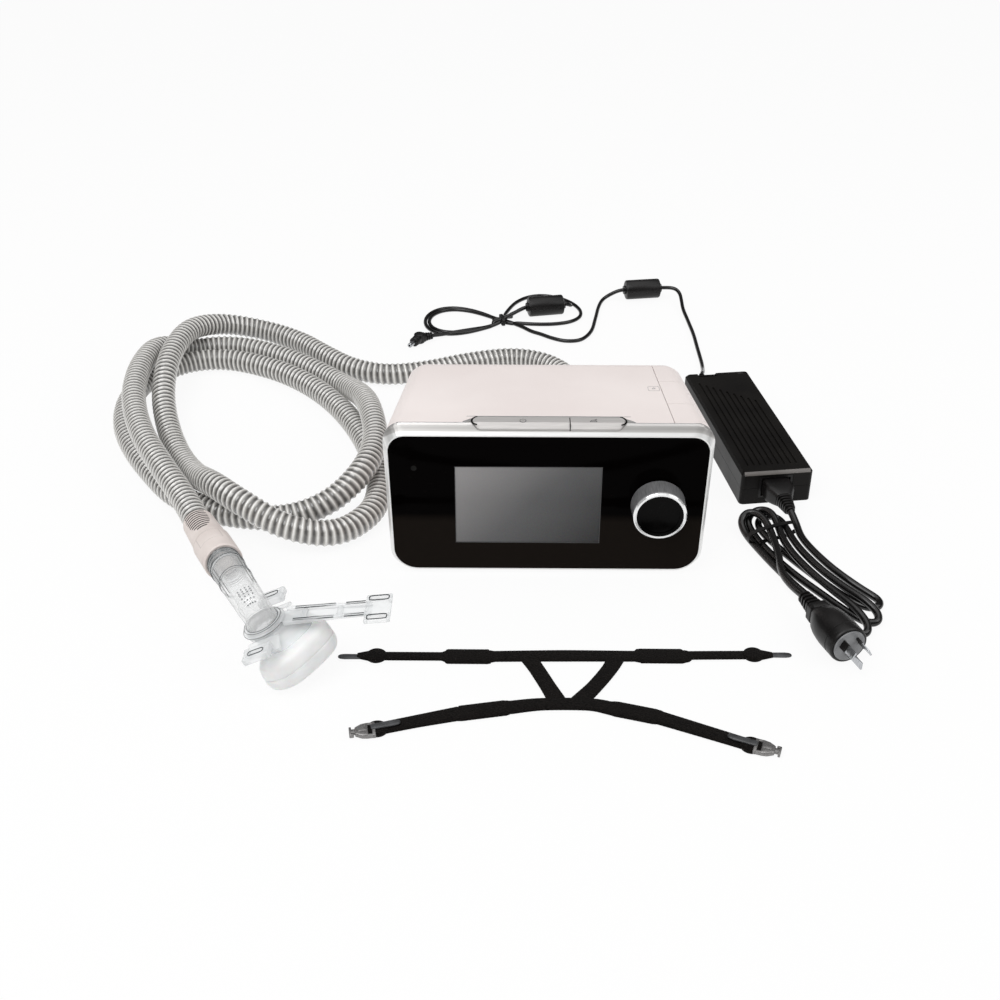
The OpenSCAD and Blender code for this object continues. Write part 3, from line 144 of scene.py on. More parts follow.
def gridMesh(name, points, closeU=False, closeV=False, capStart=False, capEnd=False):
    # points is rows by columns by 3 in metres; each cell of the grid becomes a four-sided face
    rows, columns = points.shape[:2]
    row, column = np.meshgrid(
        np.arange(rows - (not closeU)), np.arange(columns - (not closeV)), indexing="ij")
    nextRow, nextColumn = (row + 1) % rows, (column + 1) % columns
    corners = [
        row * columns + column, row * columns + nextColumn, nextRow * columns + nextColumn,
        nextRow * columns + column]
    faces = np.stack(corners, -1).reshape(-1, 4).tolist()
    if capStart:
        faces.append(list(range(columns))[::-1])
    if capEnd:
        faces.append([(rows - 1) * columns + k for k in range(columns)])
    mesh = bpy.data.meshes.new(name)
    mesh.from_pydata(points.reshape(-1, 3).tolist(), [], faces)
    if capStart or capEnd or closeU or closeV:
        tidyMesh(mesh)
    mesh.polygons.foreach_set("use_smooth", np.ones(len(mesh.polygons), bool))
    mesh.set_sharp_from_angle(angle=crease)
    return linked(name, mesh)


def tidyMesh(mesh):
    # doubles within a thousandth of a millimetre merged, then the faces turned outwards
    work = bmesh.new()
    work.from_mesh(mesh)
    bmesh.ops.remove_doubles(work, verts=work.verts, dist=1e-3 * mm)
    bmesh.ops.recalc_face_normals(work, faces=work.faces)
    work.to_mesh(mesh)
    work.free()


def tube(name, line, radius, sides=16, up=(0, 0, 1)):
    # a ring of the given radius round each point of the line; radius is a number, one per ring, or
    # rings by sides
    u, v = framesAlong(line, up)[1:]
    a = np.linspace(0, 2 * np.pi, sides, endpoint=False)
    if np.ndim(radius) == 1:
        radius = np.asarray(radius, float)[:, None]
    radius = np.broadcast_to(radius, (len(line), sides))
    around = np.cos(a)[None, :, None] * u[:, None] + np.sin(a)[None, :, None] * v[:, None]
    return gridMesh(
        name, line[:, None] + radius[..., None] * around, closeV=True, capStart=True, capEnd=True)


def lathe(name, profile, at, way, sides=48, close=False):
    # the profile of (distance along, radius) in millimetres turned about a line through at towards way
    way = unit(np.array(way, float))
    side = unit(np.cross(way, [0, 0, 1.0]) if abs(way[2]) < 0.95 else np.cross(way, [0, 1.0, 0]))
    other = np.cross(way, side)
    p = np.array(profile, float) * mm
    a = np.linspace(0, 2 * np.pi, sides, endpoint=False)
    ring = np.cos(a)[:, None] * side + np.sin(a)[:, None] * other
    points = np.array(at, float) * mm + p[:, None, :1] * way + p[:, None, 1:] * ring[None]
    return gridMesh(name, points, closeU=close, closeV=True, capStart=not close, capEnd=not close)


def superRect(w, h, power, count):
    # |2x/w|^power + |2y/h|^power = 1, walked round by angle
    a = np.linspace(0, 2 * np.pi, count, endpoint=False)
    c, s = np.cos(a), np.sin(a)
    return np.stack(
        [w / 2 * np.sign(c) * np.abs(c) ** (2 / power), h / 2 * np.sign(s) * np.abs(s) ** (2 / power)], 1)


def place(points, matrix, at):
    # points in a piece's own millimetres, turned by the matrix, moved to at and given in metres
    return (np.asarray(points, float) @ np.asarray(matrix).T + np.array(at, float)) * mm


def roundedBox(name, size, matrix, at, radius=1.0, steps=3):
    # a box of the given size in millimetres with its edges rolled over by a bevel
    x, y, z = np.array(size, float) / 2
    corners = np.array([[a * x, b * y, c * z] for a in (-1, 1) for b in (-1, 1) for c in (-1, 1)])
    mesh = bpy.data.meshes.new(name)
    faces = [[0, 1, 3, 2], [4, 6, 7, 5], [0, 4, 5, 1], [2, 3, 7, 6], [0, 2, 6, 4], [1, 5, 7, 3]]
    mesh.from_pydata(place(corners, matrix, at).tolist(), [], faces)
    tidyMesh(mesh)
    piece = linked(name, mesh)
    bevel = piece.modifiers.new("softEdges", "BEVEL")
    bevel.width, bevel.segments, bevel.limit_method = radius * mm, steps, "NONE"
    mesh.polygons.foreach_set("use_smooth", np.ones(len(mesh.polygons), bool))
    return piece


def joined(name, pieces):
    # several meshes made one piece, their modifiers applied first
    depsgraph = bpy.context.evaluated_depsgraph_get()
    verts, faces, smooth, base = [], [], [], 0
    for piece in pieces:
        mesh = piece.evaluated_get(depsgraph).to_mesh()
        co = np.zeros(len(mesh.vertices) * 3)
        mesh.vertices.foreach_get("co", co)
        verts.append(co.reshape(-1, 3))
        faces += [[v + base for v in p.vertices] for p in mesh.polygons]
        smooth += [p.use_smooth for p in mesh.polygons]
        base += len(mesh.vertices)
        piece.evaluated_get(depsgraph).to_mesh_clear()
    for piece in pieces:
        bpy.data.objects.remove(piece)
    mesh = bpy.data.meshes.new(name)
    mesh.from_pydata(np.vstack(verts).tolist(), [], faces)
    mesh.polygons.foreach_set("use_smooth", smooth)
    mesh.set_sharp_from_angle(angle=crease)
    return linked(name, mesh)


def dress(piece, material, body, slot, *nodes):
    # its material, the body it rides on and the CAD nodes it stands for; the record's slot is not used
    piece.data.materials.clear()
    piece.data.materials.append(material)
    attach(piece, body)
    if nodes:
        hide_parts(*nodes)
    return piece


photoCamera = dict(
    focal=1300.0, pitch=31.5, yaw=-0.36355004, roll=0.10698551, at=(-33.544188, -992.430258, 636.551032))


def setCamera(c):
    # forward from yaw and pitch, right level with the table, then right and up turned by the roll;
    # focal is in pixels of a frame 1000 wide
    psi, theta, rho = (math.radians(c[k]) for k in ("yaw", "pitch", "roll"))
    forward = np.array([math.sin(psi) * math.cos(theta), math.cos(psi) * math.cos(theta), -math.sin(theta)])
    right = np.array([math.cos(psi), -math.sin(psi), 0])
    up = np.cross(right, forward)
    right, up = math.cos(rho) * right + math.sin(rho) * up, -math.sin(rho) * right + math.cos(rho) * up
    data = bpy.data.cameras.new("photoCamera")
    data.sensor_fit, data.sensor_width, data.lens = "HORIZONTAL", 36, 36 * c["focal"] / 1000
    data.clip_start, data.clip_end = 0.01, 50
    camera = linked("photoCamera", data)
    rows = [[right[i], up[i], -forward[i], c["at"][i] * mm] for i in range(3)]
    camera.matrix_world = Matrix(rows + [[0, 0, 0, 1]])
    bpy.context.scene.camera = camera


setCamera(photoCamera)
print("camera set")


# a lamp is its power in watts, its size and its place
studio = dict(floorColour="#f2f2f1", floorSize=14.0, floorDrop=0.0006, whiteToCamera=0.92, worldLight=0.54,
              horizon=0.12, zenith=1.5, overheadStart=0.66, overheadFull=0.95, aim=(0, 0.1, 0),
              keyLight=(27.0, 1.6, (-0.9, -0.9, 2.0)), fillLight=(10.0, 1.4, (1.6, -0.5, 1.5)))


def clearedTree(owner):
    # the owner's node tree, emptied
    owner.use_nodes = True
    owner.node_tree.nodes.clear()
    return owner.node_tree


def raysSeen(tree):
    # the light path, and 1 for what the camera sees straight or through clear plastic
    path = addNode(tree, "LightPath")
    ends = {0: path.outputs["Is Camera Ray"], 1: path.outputs["Is Transmission Ray"]}
    return path, addNode(tree, "Math", ends, operation="MAXIMUM")


def makeFloor(s):
    # a level square that the camera and reflections see nearly white, which keeps the soft shadow
    side = np.array([-0.5, 0.5]) * s["floorSize"]
    xs, ys = np.meshgrid(side, side, indexing="ij")
    floor = gridMesh("floor", np.stack([xs, ys, np.full_like(xs, -s["floorDrop"])], -1)[:, ::-1])
    material = bpy.data.materials.new("palePaperSweep")  # seamless studio paper: matt, pale, no pattern
    tree = clearedTree(material)
    path, seen = raysSeen(tree)
    seen = addNode(tree, "Math", {0: seen, 1: path.outputs["Is Glossy Ray"]}, operation="MAXIMUM")
    share = addNode(tree, "Math", {0: seen, 1: s["whiteToCamera"]}, operation="MULTIPLY")
    paper = addNode(tree, "BsdfDiffuse", {"Color": linear(s["floorColour"])})
    glow = addNode(tree, "Emission", {"Strength": 1.0})
    addNode(tree, "OutputMaterial", {"Surface": addNode(tree, "MixShader", {0: share, 1: paper, 2: glow})})
    floor.data.materials.append(material)


def makeWorld(s):
    # white to the camera, dimmer as light; reflections see a dark room under one wide overhead light,
    # whose strength rises with the height of the direction
    world = bpy.data.worlds.new("studio")
    bpy.context.scene.world = world
    tree = clearedTree(world)
    path, seen = raysSeen(tree)
    lit = addNode(tree, "MapRange", {"Value": seen, "To Min": s["worldLight"]})
    axes = addNode(tree, "SeparateXYZ", {0: addNode(tree, "TexCoord").outputs["Generated"]})
    overhead = addNode(tree, "MapRange", {"Value": axes.outputs["Z"], "From Min": s["overheadStart"],
                                          "From Max": s["overheadFull"], "To Min": s["horizon"],
                                          "To Max": s["zenith"]}, interpolation_type="SMOOTHSTEP")
    glossy = path.outputs["Is Glossy Ray"]
    strength = addNode(tree, "Mix", {0: glossy, 2: lit, 3: overhead}, data_type="FLOAT")
    sky = addNode(tree, "Background", {"Color": (1, 1, 1, 1), "Strength": strength})
    addNode(tree, "OutputWorld", {"Surface": sky})


def makeLamp(s, name):
    # a square lamp that looks at the aim: its back, its side and its top are the columns of its matrix
    power, size, at = s[name]
    light = bpy.data.lights.new(name, "AREA")
    light.energy, light.size = power, size
    away = unit(np.array(at, float) - np.array(s["aim"], float))
    side = unit(np.cross([0, 0, 1.0], away))
    top = np.cross(away, side)
    rows = [[side[i], top[i], away[i], at[i]] for i in range(3)]
    linked(name, light).matrix_world = Matrix(rows + [[0, 0, 0, 1]])


makeFloor(studio)
makeWorld(studio)
makeLamp(studio, "keyLight")
makeLamp(studio, "fillLight")
bpy.context.scene.view_settings.view_transform = "Standard"
print("floor and lights set")


def newMaterial(name, colour, roughness, **sockets):
    # a material, its tree and its shader, with the sockets named
    material = bpy.data.materials.new(name)
    material.use_nodes = True
    tree = material.node_tree
    shader = tree.nodes["Principled BSDF"]
    feed(tree, shader, {"Base Color": linear(colour), "Roughness": roughness, **sockets})
    return material, tree, shader


def objectAxis(tree, axis):
    # how far a point lies along one axis of its piece, in metres
    return addNode(tree, "SeparateXYZ", {0: addNode(tree, "TexCoord").outputs["Object"]}).outputs[axis]


def objectNoise(tree, sizeMm, detail=2.0, stretch=(1, 1, 1)):
    # noise whose lumps are about sizeMm across, on Object coordinates in metres
    where = addNode(tree, "TexCoord").outputs["Object"]
    scaled = addNode(tree, "Mapping", {"Vector": where, "Scale": tuple(1 / k for k in stretch)})
    return addNode(tree, "TexNoise", {"Vector": scaled, "Scale": 1000.0 / sizeMm, "Detail": detail})


def mouldedPlastic(name, dark, light, roughness, grainMm=0.6, grainDepth=0.02, patchMm=60, specular=0.5,
                   clear=0.0):
    # injection-moulded plastic: a colour between dark and light by a broad noise, roughness from 0.04 below
    # to 0.05 above its value by the same noise, and a bump of spark-eroded grain
    material, tree, shader = newMaterial(name, light, roughness, **{"Specular IOR Level": specular,
                                                                    "Transmission Weight": clear})
    patch = objectNoise(tree, patchMm, 3)
    gloss = addNode(tree, "MapRange", {"Value": patch, "From Min": 0.3, "From Max": 0.7,
                                       "To Min": roughness - 0.04, "To Max": roughness + 0.05})
    colour = addNode(tree, "ValToRGB", {0: patch}, stops=((0.35, dark), (0.65, light)))
    grain = addNode(tree, "Bump", {"Height": objectNoise(tree, grainMm), "Distance": grainDepth * mm})
    feed(tree, shader, {"Base Color": colour, "Normal": grain, "Roughness": gloss})
    return material


def brushedMetal(name, dark, light, roughness, stretch, metallic=1.0, streakMm=0.5, scratchDepth=0.01):
    # brushed and lacquered metal: one stretched noise gives the streaks' colour and the scratches' depth
    material, tree, shader = newMaterial(name, light, roughness, Metallic=metallic)
    streak = objectNoise(tree, streakMm, 3, stretch)
    colour = addNode(tree, "ValToRGB", {0: streak}, stops=((0.3, dark), (0.7, light)))
    scratches = addNode(tree, "Bump", {"Height": streak, "Distance": scratchDepth * mm})
    feed(tree, shader, {"Base Color": colour, "Normal": scratches})
    return material


# ABS, moulded: the warm white cover, with a fine even grain
coverAbs = mouldedPlastic("mouldedWarmWhiteAbs", "#efe5e2", "#f4ebe8", 0.42, 0.5, 0.012, 110, 0.35)
# ABS, moulded: the lower tray, a shade greyer
trayAbs = mouldedPlastic("mouldedTrayAbs", "#d8cfca", "#ded6d1", 0.5)
# TPE: the soft cuffs on the hose, warm white and nearly matt
cuffTpe = mouldedPlastic("mouldedSoftCuffTpe", "#d9cec9", "#e3d9d4", 0.58, 0.4, 0.02, 25)
# ABS, moulded black: adapter halves, a coarse grain that catches the light brownish
adapterAbs = mouldedPlastic("mouldedBlackAdapterAbs", "#0e0c0b", "#151311", 0.4, 0.9, 0.05, 40, 0.14)
# PVC, moulded black: plugs, reliefs, ties and ferrite jackets, with a satin sheen
plugPvc = mouldedPlastic("mouldedBlackPvc", "#0a0909", "#141212", 0.36, 0.5, 0.02, 20, 0.32)
# PVC, extruded black: the cable sheaths, smoother and a little shiny
sheathPvc = mouldedPlastic("extrudedBlackPvc", "#060505", "#0d0b0b", 0.2, 1.2, 0.01, 30)
# nylon, moulded grey: the plug's face, the seam round the trim and the tank's mark
greyNylon = mouldedPlastic("mouldedGreyNylon", "#77787a", "#8f9092", 0.4, 0.5, 0.02, 8)
# nylon, moulded dark grey: the headgear's tabs
darkNylon = mouldedPlastic("mouldedDarkNylon", "#2f3031", "#454648", 0.38, 0.5, 0.02, 8)
# ABS, moulded: ducts and blower parts inside, pale and matt
ductAbs = mouldedPlastic("mouldedInnerAbs", "#c9cdca", "#d6d9d7", 0.55, 0.8, 0.03)
# silicone rubber, moulded grey: the seals round the tank, matt
sealSilicone = mouldedPlastic("mouldedGreySilicone", "#7c8488", "#8d969a", 0.6, 0.5, 0.01, 15)
# rubber, moulded black: the feet, dull and dusty
feetRubber = mouldedPlastic("mouldedBlackRubber", "#1c1c1c", "#282828", 0.75, 0.7, 0.05, 10)
# polycarbonate, moulded smoky clear: the water tank
tankClear = mouldedPlastic("mouldedClearTank", "#b9cbd6", "#cddde6", 0.12, 2.0, 0.01, 60, clear=0.6)
# non-woven felt: the air filter, fluffy and without sheen
filterFelt = mouldedPlastic("nonWovenFilterFelt", "#dfe4e6", "#f3f5f5", 0.95, 0.35, 0.15, 6)
# solder mask on fibreglass: the circuit boards, green and half glossy
boardMask = mouldedPlastic("greenSolderMask", "#1b4a2c", "#2a6a40", 0.35, 3.0, 0.03, 5)
# ink, pad-printed: the marks on the buttons and the screen's edge, matt
printedInk = mouldedPlastic("printedDarkMark", "#3b3b3c", "#4a4a4b", 0.5)
# ABS, nearly black: painted shade in the gap between the buttons and painted shadow round their ends, and
# the light sensor's own dark disc
darkGap = mouldedPlastic("shadeAndSensorBlackAbs", "#0d0c0c", "#171615", 0.5, 0.5, 0.01, 20, 0.1)
# ABS with a painted highlight: a lighter grey strip along the adapter's front bevel, where it catches the
# light
bevelPaintedHighlight = mouldedPlastic("paintedHighlightBevelAbs", "#56524f", "#6a6663", 0.3, 2.0, 0.02, 30)
# acrylic, smoked: the window over the adapter's lamp
lampWindow = mouldedPlastic("smokedLampWindow", "#232222", "#302e2d", 0.3, 1.0, 0.01, 10)
# ABS, polished black: the knob's front disc
knobBlack = mouldedPlastic("polishedBlackDisc", "#030303", "#070606", 0.12, 3.0, 0.01, 20, 0.06)
# steel, turned and nickel-plated: shafts, screws and pins
plainSteel = brushedMetal("turnedNickelSteel", "#a9abae", "#cfd1d4", 0.25, (1, 1, 8))
# aluminium, brushed: the heater plate, with long streaks
plainAluminium = brushedMetal("brushedAluminiumPlate", "#b3b5b7", "#cfd0d1", 0.35, (20, 1, 1))
# ABS painted silver: the knob's side, with rings left by the turned tool
knobSilver = brushedMetal("turnedSilverKnob", "#a6a6a8", "#d6d6d8", 0.32, (1, 40, 1), 0.75)
# ABS painted silver and brushed along X: the two buttons
buttonSilver = brushedMetal("brushedSilverButton", "#b5b2b0", "#c6c3c1", 0.4, (40, 1, 1), 0.2)
# ABS, chrome-plated: the ring on the knob's front, bright and smooth
ringChrome = brushedMetal("platedChromeRing", "#eeeff0", "#fbfbfb", 0.12, (1, 1, 1), 0.6)
# zinc alloy, die-cast and barrel-plated: the strap clips, dull grey
clipMetal = brushedMetal("platedZincClip", "#6f6e6d", "#9b9998", 0.34, (1, 1, 1), 0.7)


def paintShadeInGrooves(material, colour):
    # painted shade in the slots, along the panel's outline and at the shoulder rings, taken from the
    # piece's own groove attribute
    tree = material.node_tree
    shader = tree.nodes["Principled BSDF"]
    before = shader.inputs["Base Color"].links[0].from_socket
    groove = addNode(tree, "Attribute", attribute_name="groove").outputs["Fac"]
    both = addNode(tree, "Mix", {0: groove, 6: before, 7: linear(colour)}, data_type="RGBA")
    feed(tree, shader, {"Base Color": both.outputs[2]})


# painted shade, nearly black, in the cuffs' slots, panel outline and shoulder rings
paintShadeInGrooves(cuffTpe, "#171412")


def blackGlass(floorReflectionBelow=0.052, blackAbove=0.060):
    # polished acrylic with a black print behind it: a mirror-like skin over black, with a painted
    # reflection of the floor that makes it a touch browner low down
    material, tree, shader = newMaterial("polishedBlackAcrylic", "#050404", 0.05,
                                         **{"Specular IOR Level": 0.015, "IOR": 1.49})
    low = addNode(tree, "MapRange", {"Value": objectAxis(tree, "Z"), "From Min": floorReflectionBelow,
                                     "From Max": blackAbove})
    gloss = addNode(tree, "MapRange", {"Value": objectNoise(tree, 45), "From Min": 0.3, "From Max": 0.7,
                                       "To Min": 0.04, "To Max": 0.09})
    # painted reflection of the floor: brownish below, black above
    colour = addNode(tree, "ValToRGB", {0: low}, stops=((0, "#181411"), (1, "#030202")))
    feed(tree, shader, {"Base Color": colour, "Roughness": gloss})
    return material


def screenGlass(left=-0.0775, right=0.0475, top=0.105, bottom=0.0315):
    # a liquid-crystal panel that is off, with painted light across it: grey that darkens by 0.62 from left
    # to right plus 0.38 from top to bottom, with faint dots
    material, tree, shader = newMaterial("unlitScreenFilm", "#616161", 0.2, **{"Specular IOR Level": 0.2})
    across = addNode(tree, "MapRange", {"Value": objectAxis(tree, "X"), "From Min": left, "From Max": right,
                                        "To Max": 0.62})
    down = addNode(tree, "MapRange", {"Value": objectAxis(tree, "Z"), "From Min": top, "From Max": bottom,
                                      "To Max": 0.38})
    both = addNode(tree, "Math", {0: across, 1: down}, operation="ADD")
    # painted light: lightest at the upper left, darkest at the lower right
    grey = addNode(tree, "ValToRGB", {0: both}, stops=((0, "#969494"), (0.5, "#5c5c5d"), (1, "#1c1c1d")))
    # the pixel pitch is drawn at 0.4 mm, the real one is 0.2
    dots = addNode(
        tree, "TexVoronoi", {"Vector": addNode(tree, "TexCoord").outputs["Object"], "Scale": 2500.0})
    fine = addNode(tree, "Mix", {0: 0.02, 6: grey, 7: dots.outputs["Color"]}, data_type="RGBA")
    feed(tree, shader, {"Base Color": fine.outputs[2]})
    return material


def silverTrim(front=-0.0735, edge=-0.0655, sideTop=0.125, topFrom=0.138):
    # ABS painted silver under clear lacquer and brushed along X, with painted reflection: white round the
    # glass, a grey band along X on the top
    material, tree, shader = newMaterial("paintedSilverTrim", "#d9d9d8", 0.3, Metallic=0.55)
    streak = objectNoise(tree, 1.2, 3, (60, 1, 1))
    band = addNode(tree, "MapRange", {"Value": objectAxis(tree, "Y"), "From Min": front, "From Max": edge})
    topOnly = addNode(
        tree, "MapRange", {"Value": objectAxis(tree, "Z"), "From Min": sideTop, "From Max": topFrom})
    back = addNode(tree, "Math", {0: band, 1: topOnly}, operation="MULTIPLY")
    # painted reflection: white at the front round the glass, a grey band on the top
    silverAndReflection = addNode(
        tree, "ValToRGB", {0: back},
        stops=(
            (0, "#f7f7f6"), (0.18, "#f4f4f3"), (0.26, "#c4c2c0"), (0.5, "#adaba9"), (0.85, "#c6c4c2"),
            (1, "#d3d1cf")))
    brushed = addNode(tree, "Mix", {0: 0.18, 6: silverAndReflection, 7: streak}, data_type="RGBA", blend_type="MULTIPLY")
    scratches = addNode(tree, "Bump", {"Height": streak, "Distance": 0.008 * mm})
    feed(tree, shader, {"Base Color": brushed.outputs[2], "Normal": scratches})
    return material


def clearPlastic(name, face, edge, roughness, alpha):
    # polycarbonate, moulded clear: nearly colourless face on, grey edge on; alpha rises by facing to
    # the power 2.6
    material, tree, shader = newMaterial(name, face, roughness,
                                         **{"IOR": 1.5, "Coat Weight": 0.3, "Coat Roughness": 0.05})
    facing = addNode(tree, "LayerWeight", {"Blend": 0.35}).outputs["Facing"]
    steep = addNode(tree, "Math", {0: facing, 1: 2.6}, operation="POWER")
    veil = addNode(tree, "MapRange", {"Value": steep, "To Min": alpha, "To Max": 0.95})
    colour = addNode(tree, "ValToRGB", {0: facing}, stops=((0.55, face), (0.95, edge)))
    waves = addNode(tree, "Bump", {"Height": objectNoise(tree, 7), "Distance": 0.15 * mm})
    feed(tree, shader, {"Base Color": colour, "Alpha": veil, "Normal": waves})
    return material


frameClear = clearPlastic("mouldedClearFrame", "#f3f5f6", "#5d6467", 0.07, 0.30)
elbowClear = clearPlastic("mouldedClearElbow", "#fbfcfc", "#4c5356", 0.06, 0.19)
# the same plastic as seen through its thick edges, dark: painted shade for the lines that clear plastic
# shows at its edges, steps and holes
edgeShade = clearPlastic("clearPlasticEdgeShade", "#4a4f52", "#1c1f21", 0.12, 0.85)


def frostedSilicone():
    # liquid silicone rubber, moulded and frosted: milky, softly lit from inside, a low sheen
    material, tree, shader = newMaterial("mouldedFrostedSilicone", "#e9ebeb", 0.42, **{
        "Subsurface Weight": 0.12, "Subsurface Scale": 0.004, "Sheen Weight": 0.15})
    cloud = objectNoise(tree, 14, 3)
    facing = addNode(tree, "LayerWeight", {"Blend": 0.4}).outputs["Facing"]
    milk = addNode(tree, "ValToRGB", {0: cloud}, stops=((0.35, "#f0f1f1"), (0.65, "#fbfbfb")))
    frost = addNode(tree, "Bump", {"Height": cloud, "Distance": 0.25 * mm})
    veil = addNode(tree, "MapRange", {"Value": facing, "To Min": 0.82})
    feed(tree, shader, {"Base Color": milk, "Normal": frost, "Alpha": veil})
    return material


def strapFabric():
    # nylon loop fabric bonded on foam: very dark, matt, tiny loops with a faint sheen at glancing angles
    material, tree, shader = newMaterial("bondedLoopFabric", "#0e0c0c", 0.92, **{
        "Sheen Weight": 0.05, "Sheen Roughness": 0.5, "Specular IOR Level": 0.05})
    loops = objectNoise(tree, 0.9, 3)  # loops are about 0.4 mm; drawn at 0.9 so that they show
    cells = addNode(
        tree, "TexVoronoi", {"Vector": addNode(tree, "TexCoord").outputs["Object"], "Scale": 900.0})
    height = addNode(tree, "Math", {0: loops, 1: cells.outputs["Distance"]}, operation="ADD")
    nap = addNode(tree, "ValToRGB", {0: loops}, stops=((0.35, "#060505"), (0.65, "#191614")))
    pile = addNode(tree, "Bump", {"Height": height, "Distance": 0.35 * mm})
    feed(tree, shader, {"Base Color": nap, "Normal": pile})
    return material


def hoseVinyl():
    # extruded ribbed tubing: a grey wall with painted shade in the grooves and painted highlights along the
    # glossy ribs, told apart by the rib attribute
    material, tree, shader = newMaterial("spiralRibbedTubing", "#b9bcba", 0.2,
                                         **{"Coat Weight": 0.9, "Coat Roughness": 0.06})
    rib = addNode(tree, "Attribute", attribute_name="rib").outputs["Fac"]
    # painted shade in the grooves up to a painted highlight on the ribs
    wall = addNode(tree, "ValToRGB", {0: rib}, stops=((0, "#5a5957"), (0.2, "#8b8986"), (0.55, "#bdbbb7"),
                                                      (0.8, "#dddbd7"), (1, "#fbfaf8")))
    clouded = addNode(tree, "Mix", {0: 0.12, 6: wall, 7: objectNoise(tree, 22, 3)}, data_type="RGBA",
                      blend_type="MULTIPLY")
    grain = addNode(tree, "Bump", {"Height": objectNoise(tree, 1.5), "Distance": 0.05 * mm})
    feed(tree, shader, {"Base Color": clouded.outputs[2], "Normal": grain})
    return material


glassMaterial = blackGlass()
siliconeMaterial = frostedSilicone()
fabricMaterial = strapFabric()
hoseMaterial = hoseVinyl()
slotMaterials = dict(
    cover=coverAbs, tray=trayAbs, trim=silverTrim(), black_glass=glassMaterial, screen=screenGlass(),
    board=boardMask, rubber=feetRubber, steel=plainSteel, silver=knobSilver, chrome=ringChrome,
    black_gloss=knobBlack, dark_plastic=plugPvc, smoke=tankClear, seal=sealSilicone, alu=plainAluminium,
    duct=ductAbs, foam=filterFelt, cuff=cuffTpe, hose=hoseMaterial, clear=elbowClear,
    silicone=siliconeMaterial, fabric=fabricMaterial, grey_plastic=greyNylon, brick=adapterAbs,
    cable=sheathPvc)
for part in frame["record"]["subparts"]:
    solid = frame["nodes"][part["node"]]
    if not solid.material_slots:
        solid.data.materials.append(None)
    for slot in solid.material_slots:
        slot.material = slotMaterials[part["material_slot"]]
for name in ("power_button", "ramp_button"):
    frame["nodes"][name].material_slots[0].material = buttonSilver
print("materials made")


airHose = dict(wall=10.7, rib=1.35, peak=1.7, pitch=6.2, rings=3300, sides=22, ease=9.0, lowest=12.1)
hoseRoute = [
    [45, 112, 60], [45, 155, 53], [45, 205, 32], [40, 260, 15], [15, 310, 12], [-25, 330, 12],
    [-75, 318, 12], [-120, 297, 12], [-165, 288, 12], [-205, 303, 12], [-240, 337, 12],
    [-275, 374, 12], [-315, 394, 16], [-358, 384, 28], [-386, 348, 39], [-395, 300, 40],
    [-395, 250, 35], [-389, 205, 23], [-375, 160, 14], [-354, 110, 12], [-327, 58, 20],
    [-298, 12, 36], [-264, -22, 36], [-226, -39, 24], [-185, -32, 13], [-156, 6, 12],
    [-154, 62, 12], [-168, 118, 12], [-188, 170, 12], [-215, 220, 12], [-250, 265, 12],
    [-292, 300, 12], [-345, 323, 12], [-392, 313, 12], [-422, 273, 12], [-430, 220, 12],
    [-421, 168, 12], [-400, 120, 12], [-370, 72, 12], [-337, 30, 12], [-292, 2, 12],
    [-238, -6, 12], [-194, 4, 23], [-166, 40, 36], [-160, 95, 37], [-168, 150, 36],
    [-183, 206, 27], [-210, 258, 14], [-248, 300, 12], [-292, 335, 12], [-342, 357, 12],
    [-388, 350, 13], [-417, 314, 31], [-422, 260, 37], [-416, 200, 38], [-402, 148, 37],
    [-380, 95, 37], [-353, 45, 37], [-322, -8, 36], [-298, -54, 36]]


def makeHose(h):
    # the radius is wall + rib * wave ^ peak; wave = (1 + cos(2 pi along / pitch - turn round the tube)) / 2
    line = relaxed(smoothLine(hoseRoute, h["rings"]), h["ease"]) * mm
    line[:, 2] = np.maximum(line[:, 2], h["lowest"] * mm)
    along = np.concatenate([[0], np.cumsum(np.linalg.norm(np.diff(line, axis=0), axis=1))]) / mm
    angle = np.linspace(0, 2 * np.pi, h["sides"], endpoint=False)
    wave = 0.5 + 0.5 * np.cos(2 * np.pi * along[:, None] / h["pitch"] - angle[None])
    rib = wave ** h["peak"]
    piece = tube("hoseRibbed", line, (h["wall"] + h["rib"] * rib) * mm, h["sides"])
    # the rib attribute also carries the painted highlights on the ribs and the painted shade between them
    piece.data.attributes.new("rib", "FLOAT", "POINT").data.foreach_set(
        "value", rib.ravel().astype(np.float32))
    return dress(piece, hoseMaterial, "case", "hose", "hose_tube"), line


hosePiece, hoseLine = makeHose(airHose)


def makeSheath(name, route, c, *nodes):
    # a round sheath carried along the smoothed route, its middle never lower than its own radius
    line = relaxed(smoothLine(route, c["samples"]), c["ease"]) * mm
    line[:, 2] = np.maximum(line[:, 2], c["diameter"] / 2 * mm)
    piece = tube(name, line, c["diameter"] / 2 * mm, c["sides"])
    return dress(piece, sheathPvc, "case", "cable", *nodes), line


lowCable = dict(diameter=4.5, samples=1500, sides=12, ease=3.0)
# a side of the bundle is its axis in degrees, its length and its width
bundle = dict(
    left=(177.6, 93.0, 77.0), right=(34.5, 103.0, 90.0), step=9.6, neck=(-40.0, 452.0), low=2.6, cut=38)


def lobe(kind, turn, below):
    # a drop shape: out along its axis by (1 - cos t) / 2, to the side by sin t sin(t / 2), at most 0.77,
    # and smaller by one step each turn
    axis, length, width = bundle[kind]
    t = np.radians(np.linspace(bundle["cut"], 360 - bundle["cut"], 13))
    length, width = length - turn * bundle["step"] / 2, width - turn * bundle["step"]
    x = length * (1 - np.cos(t)) / 2
    y = (-1 if below else 1) * width / 2 * np.sin(t) * np.sin(t / 2) / 0.77
    flat = np.stack([x, y, np.zeros(len(t))], 1) @ turned("Z", axis).T
    return (flat + np.array([*bundle["neck"], bundle["low"]])).tolist()


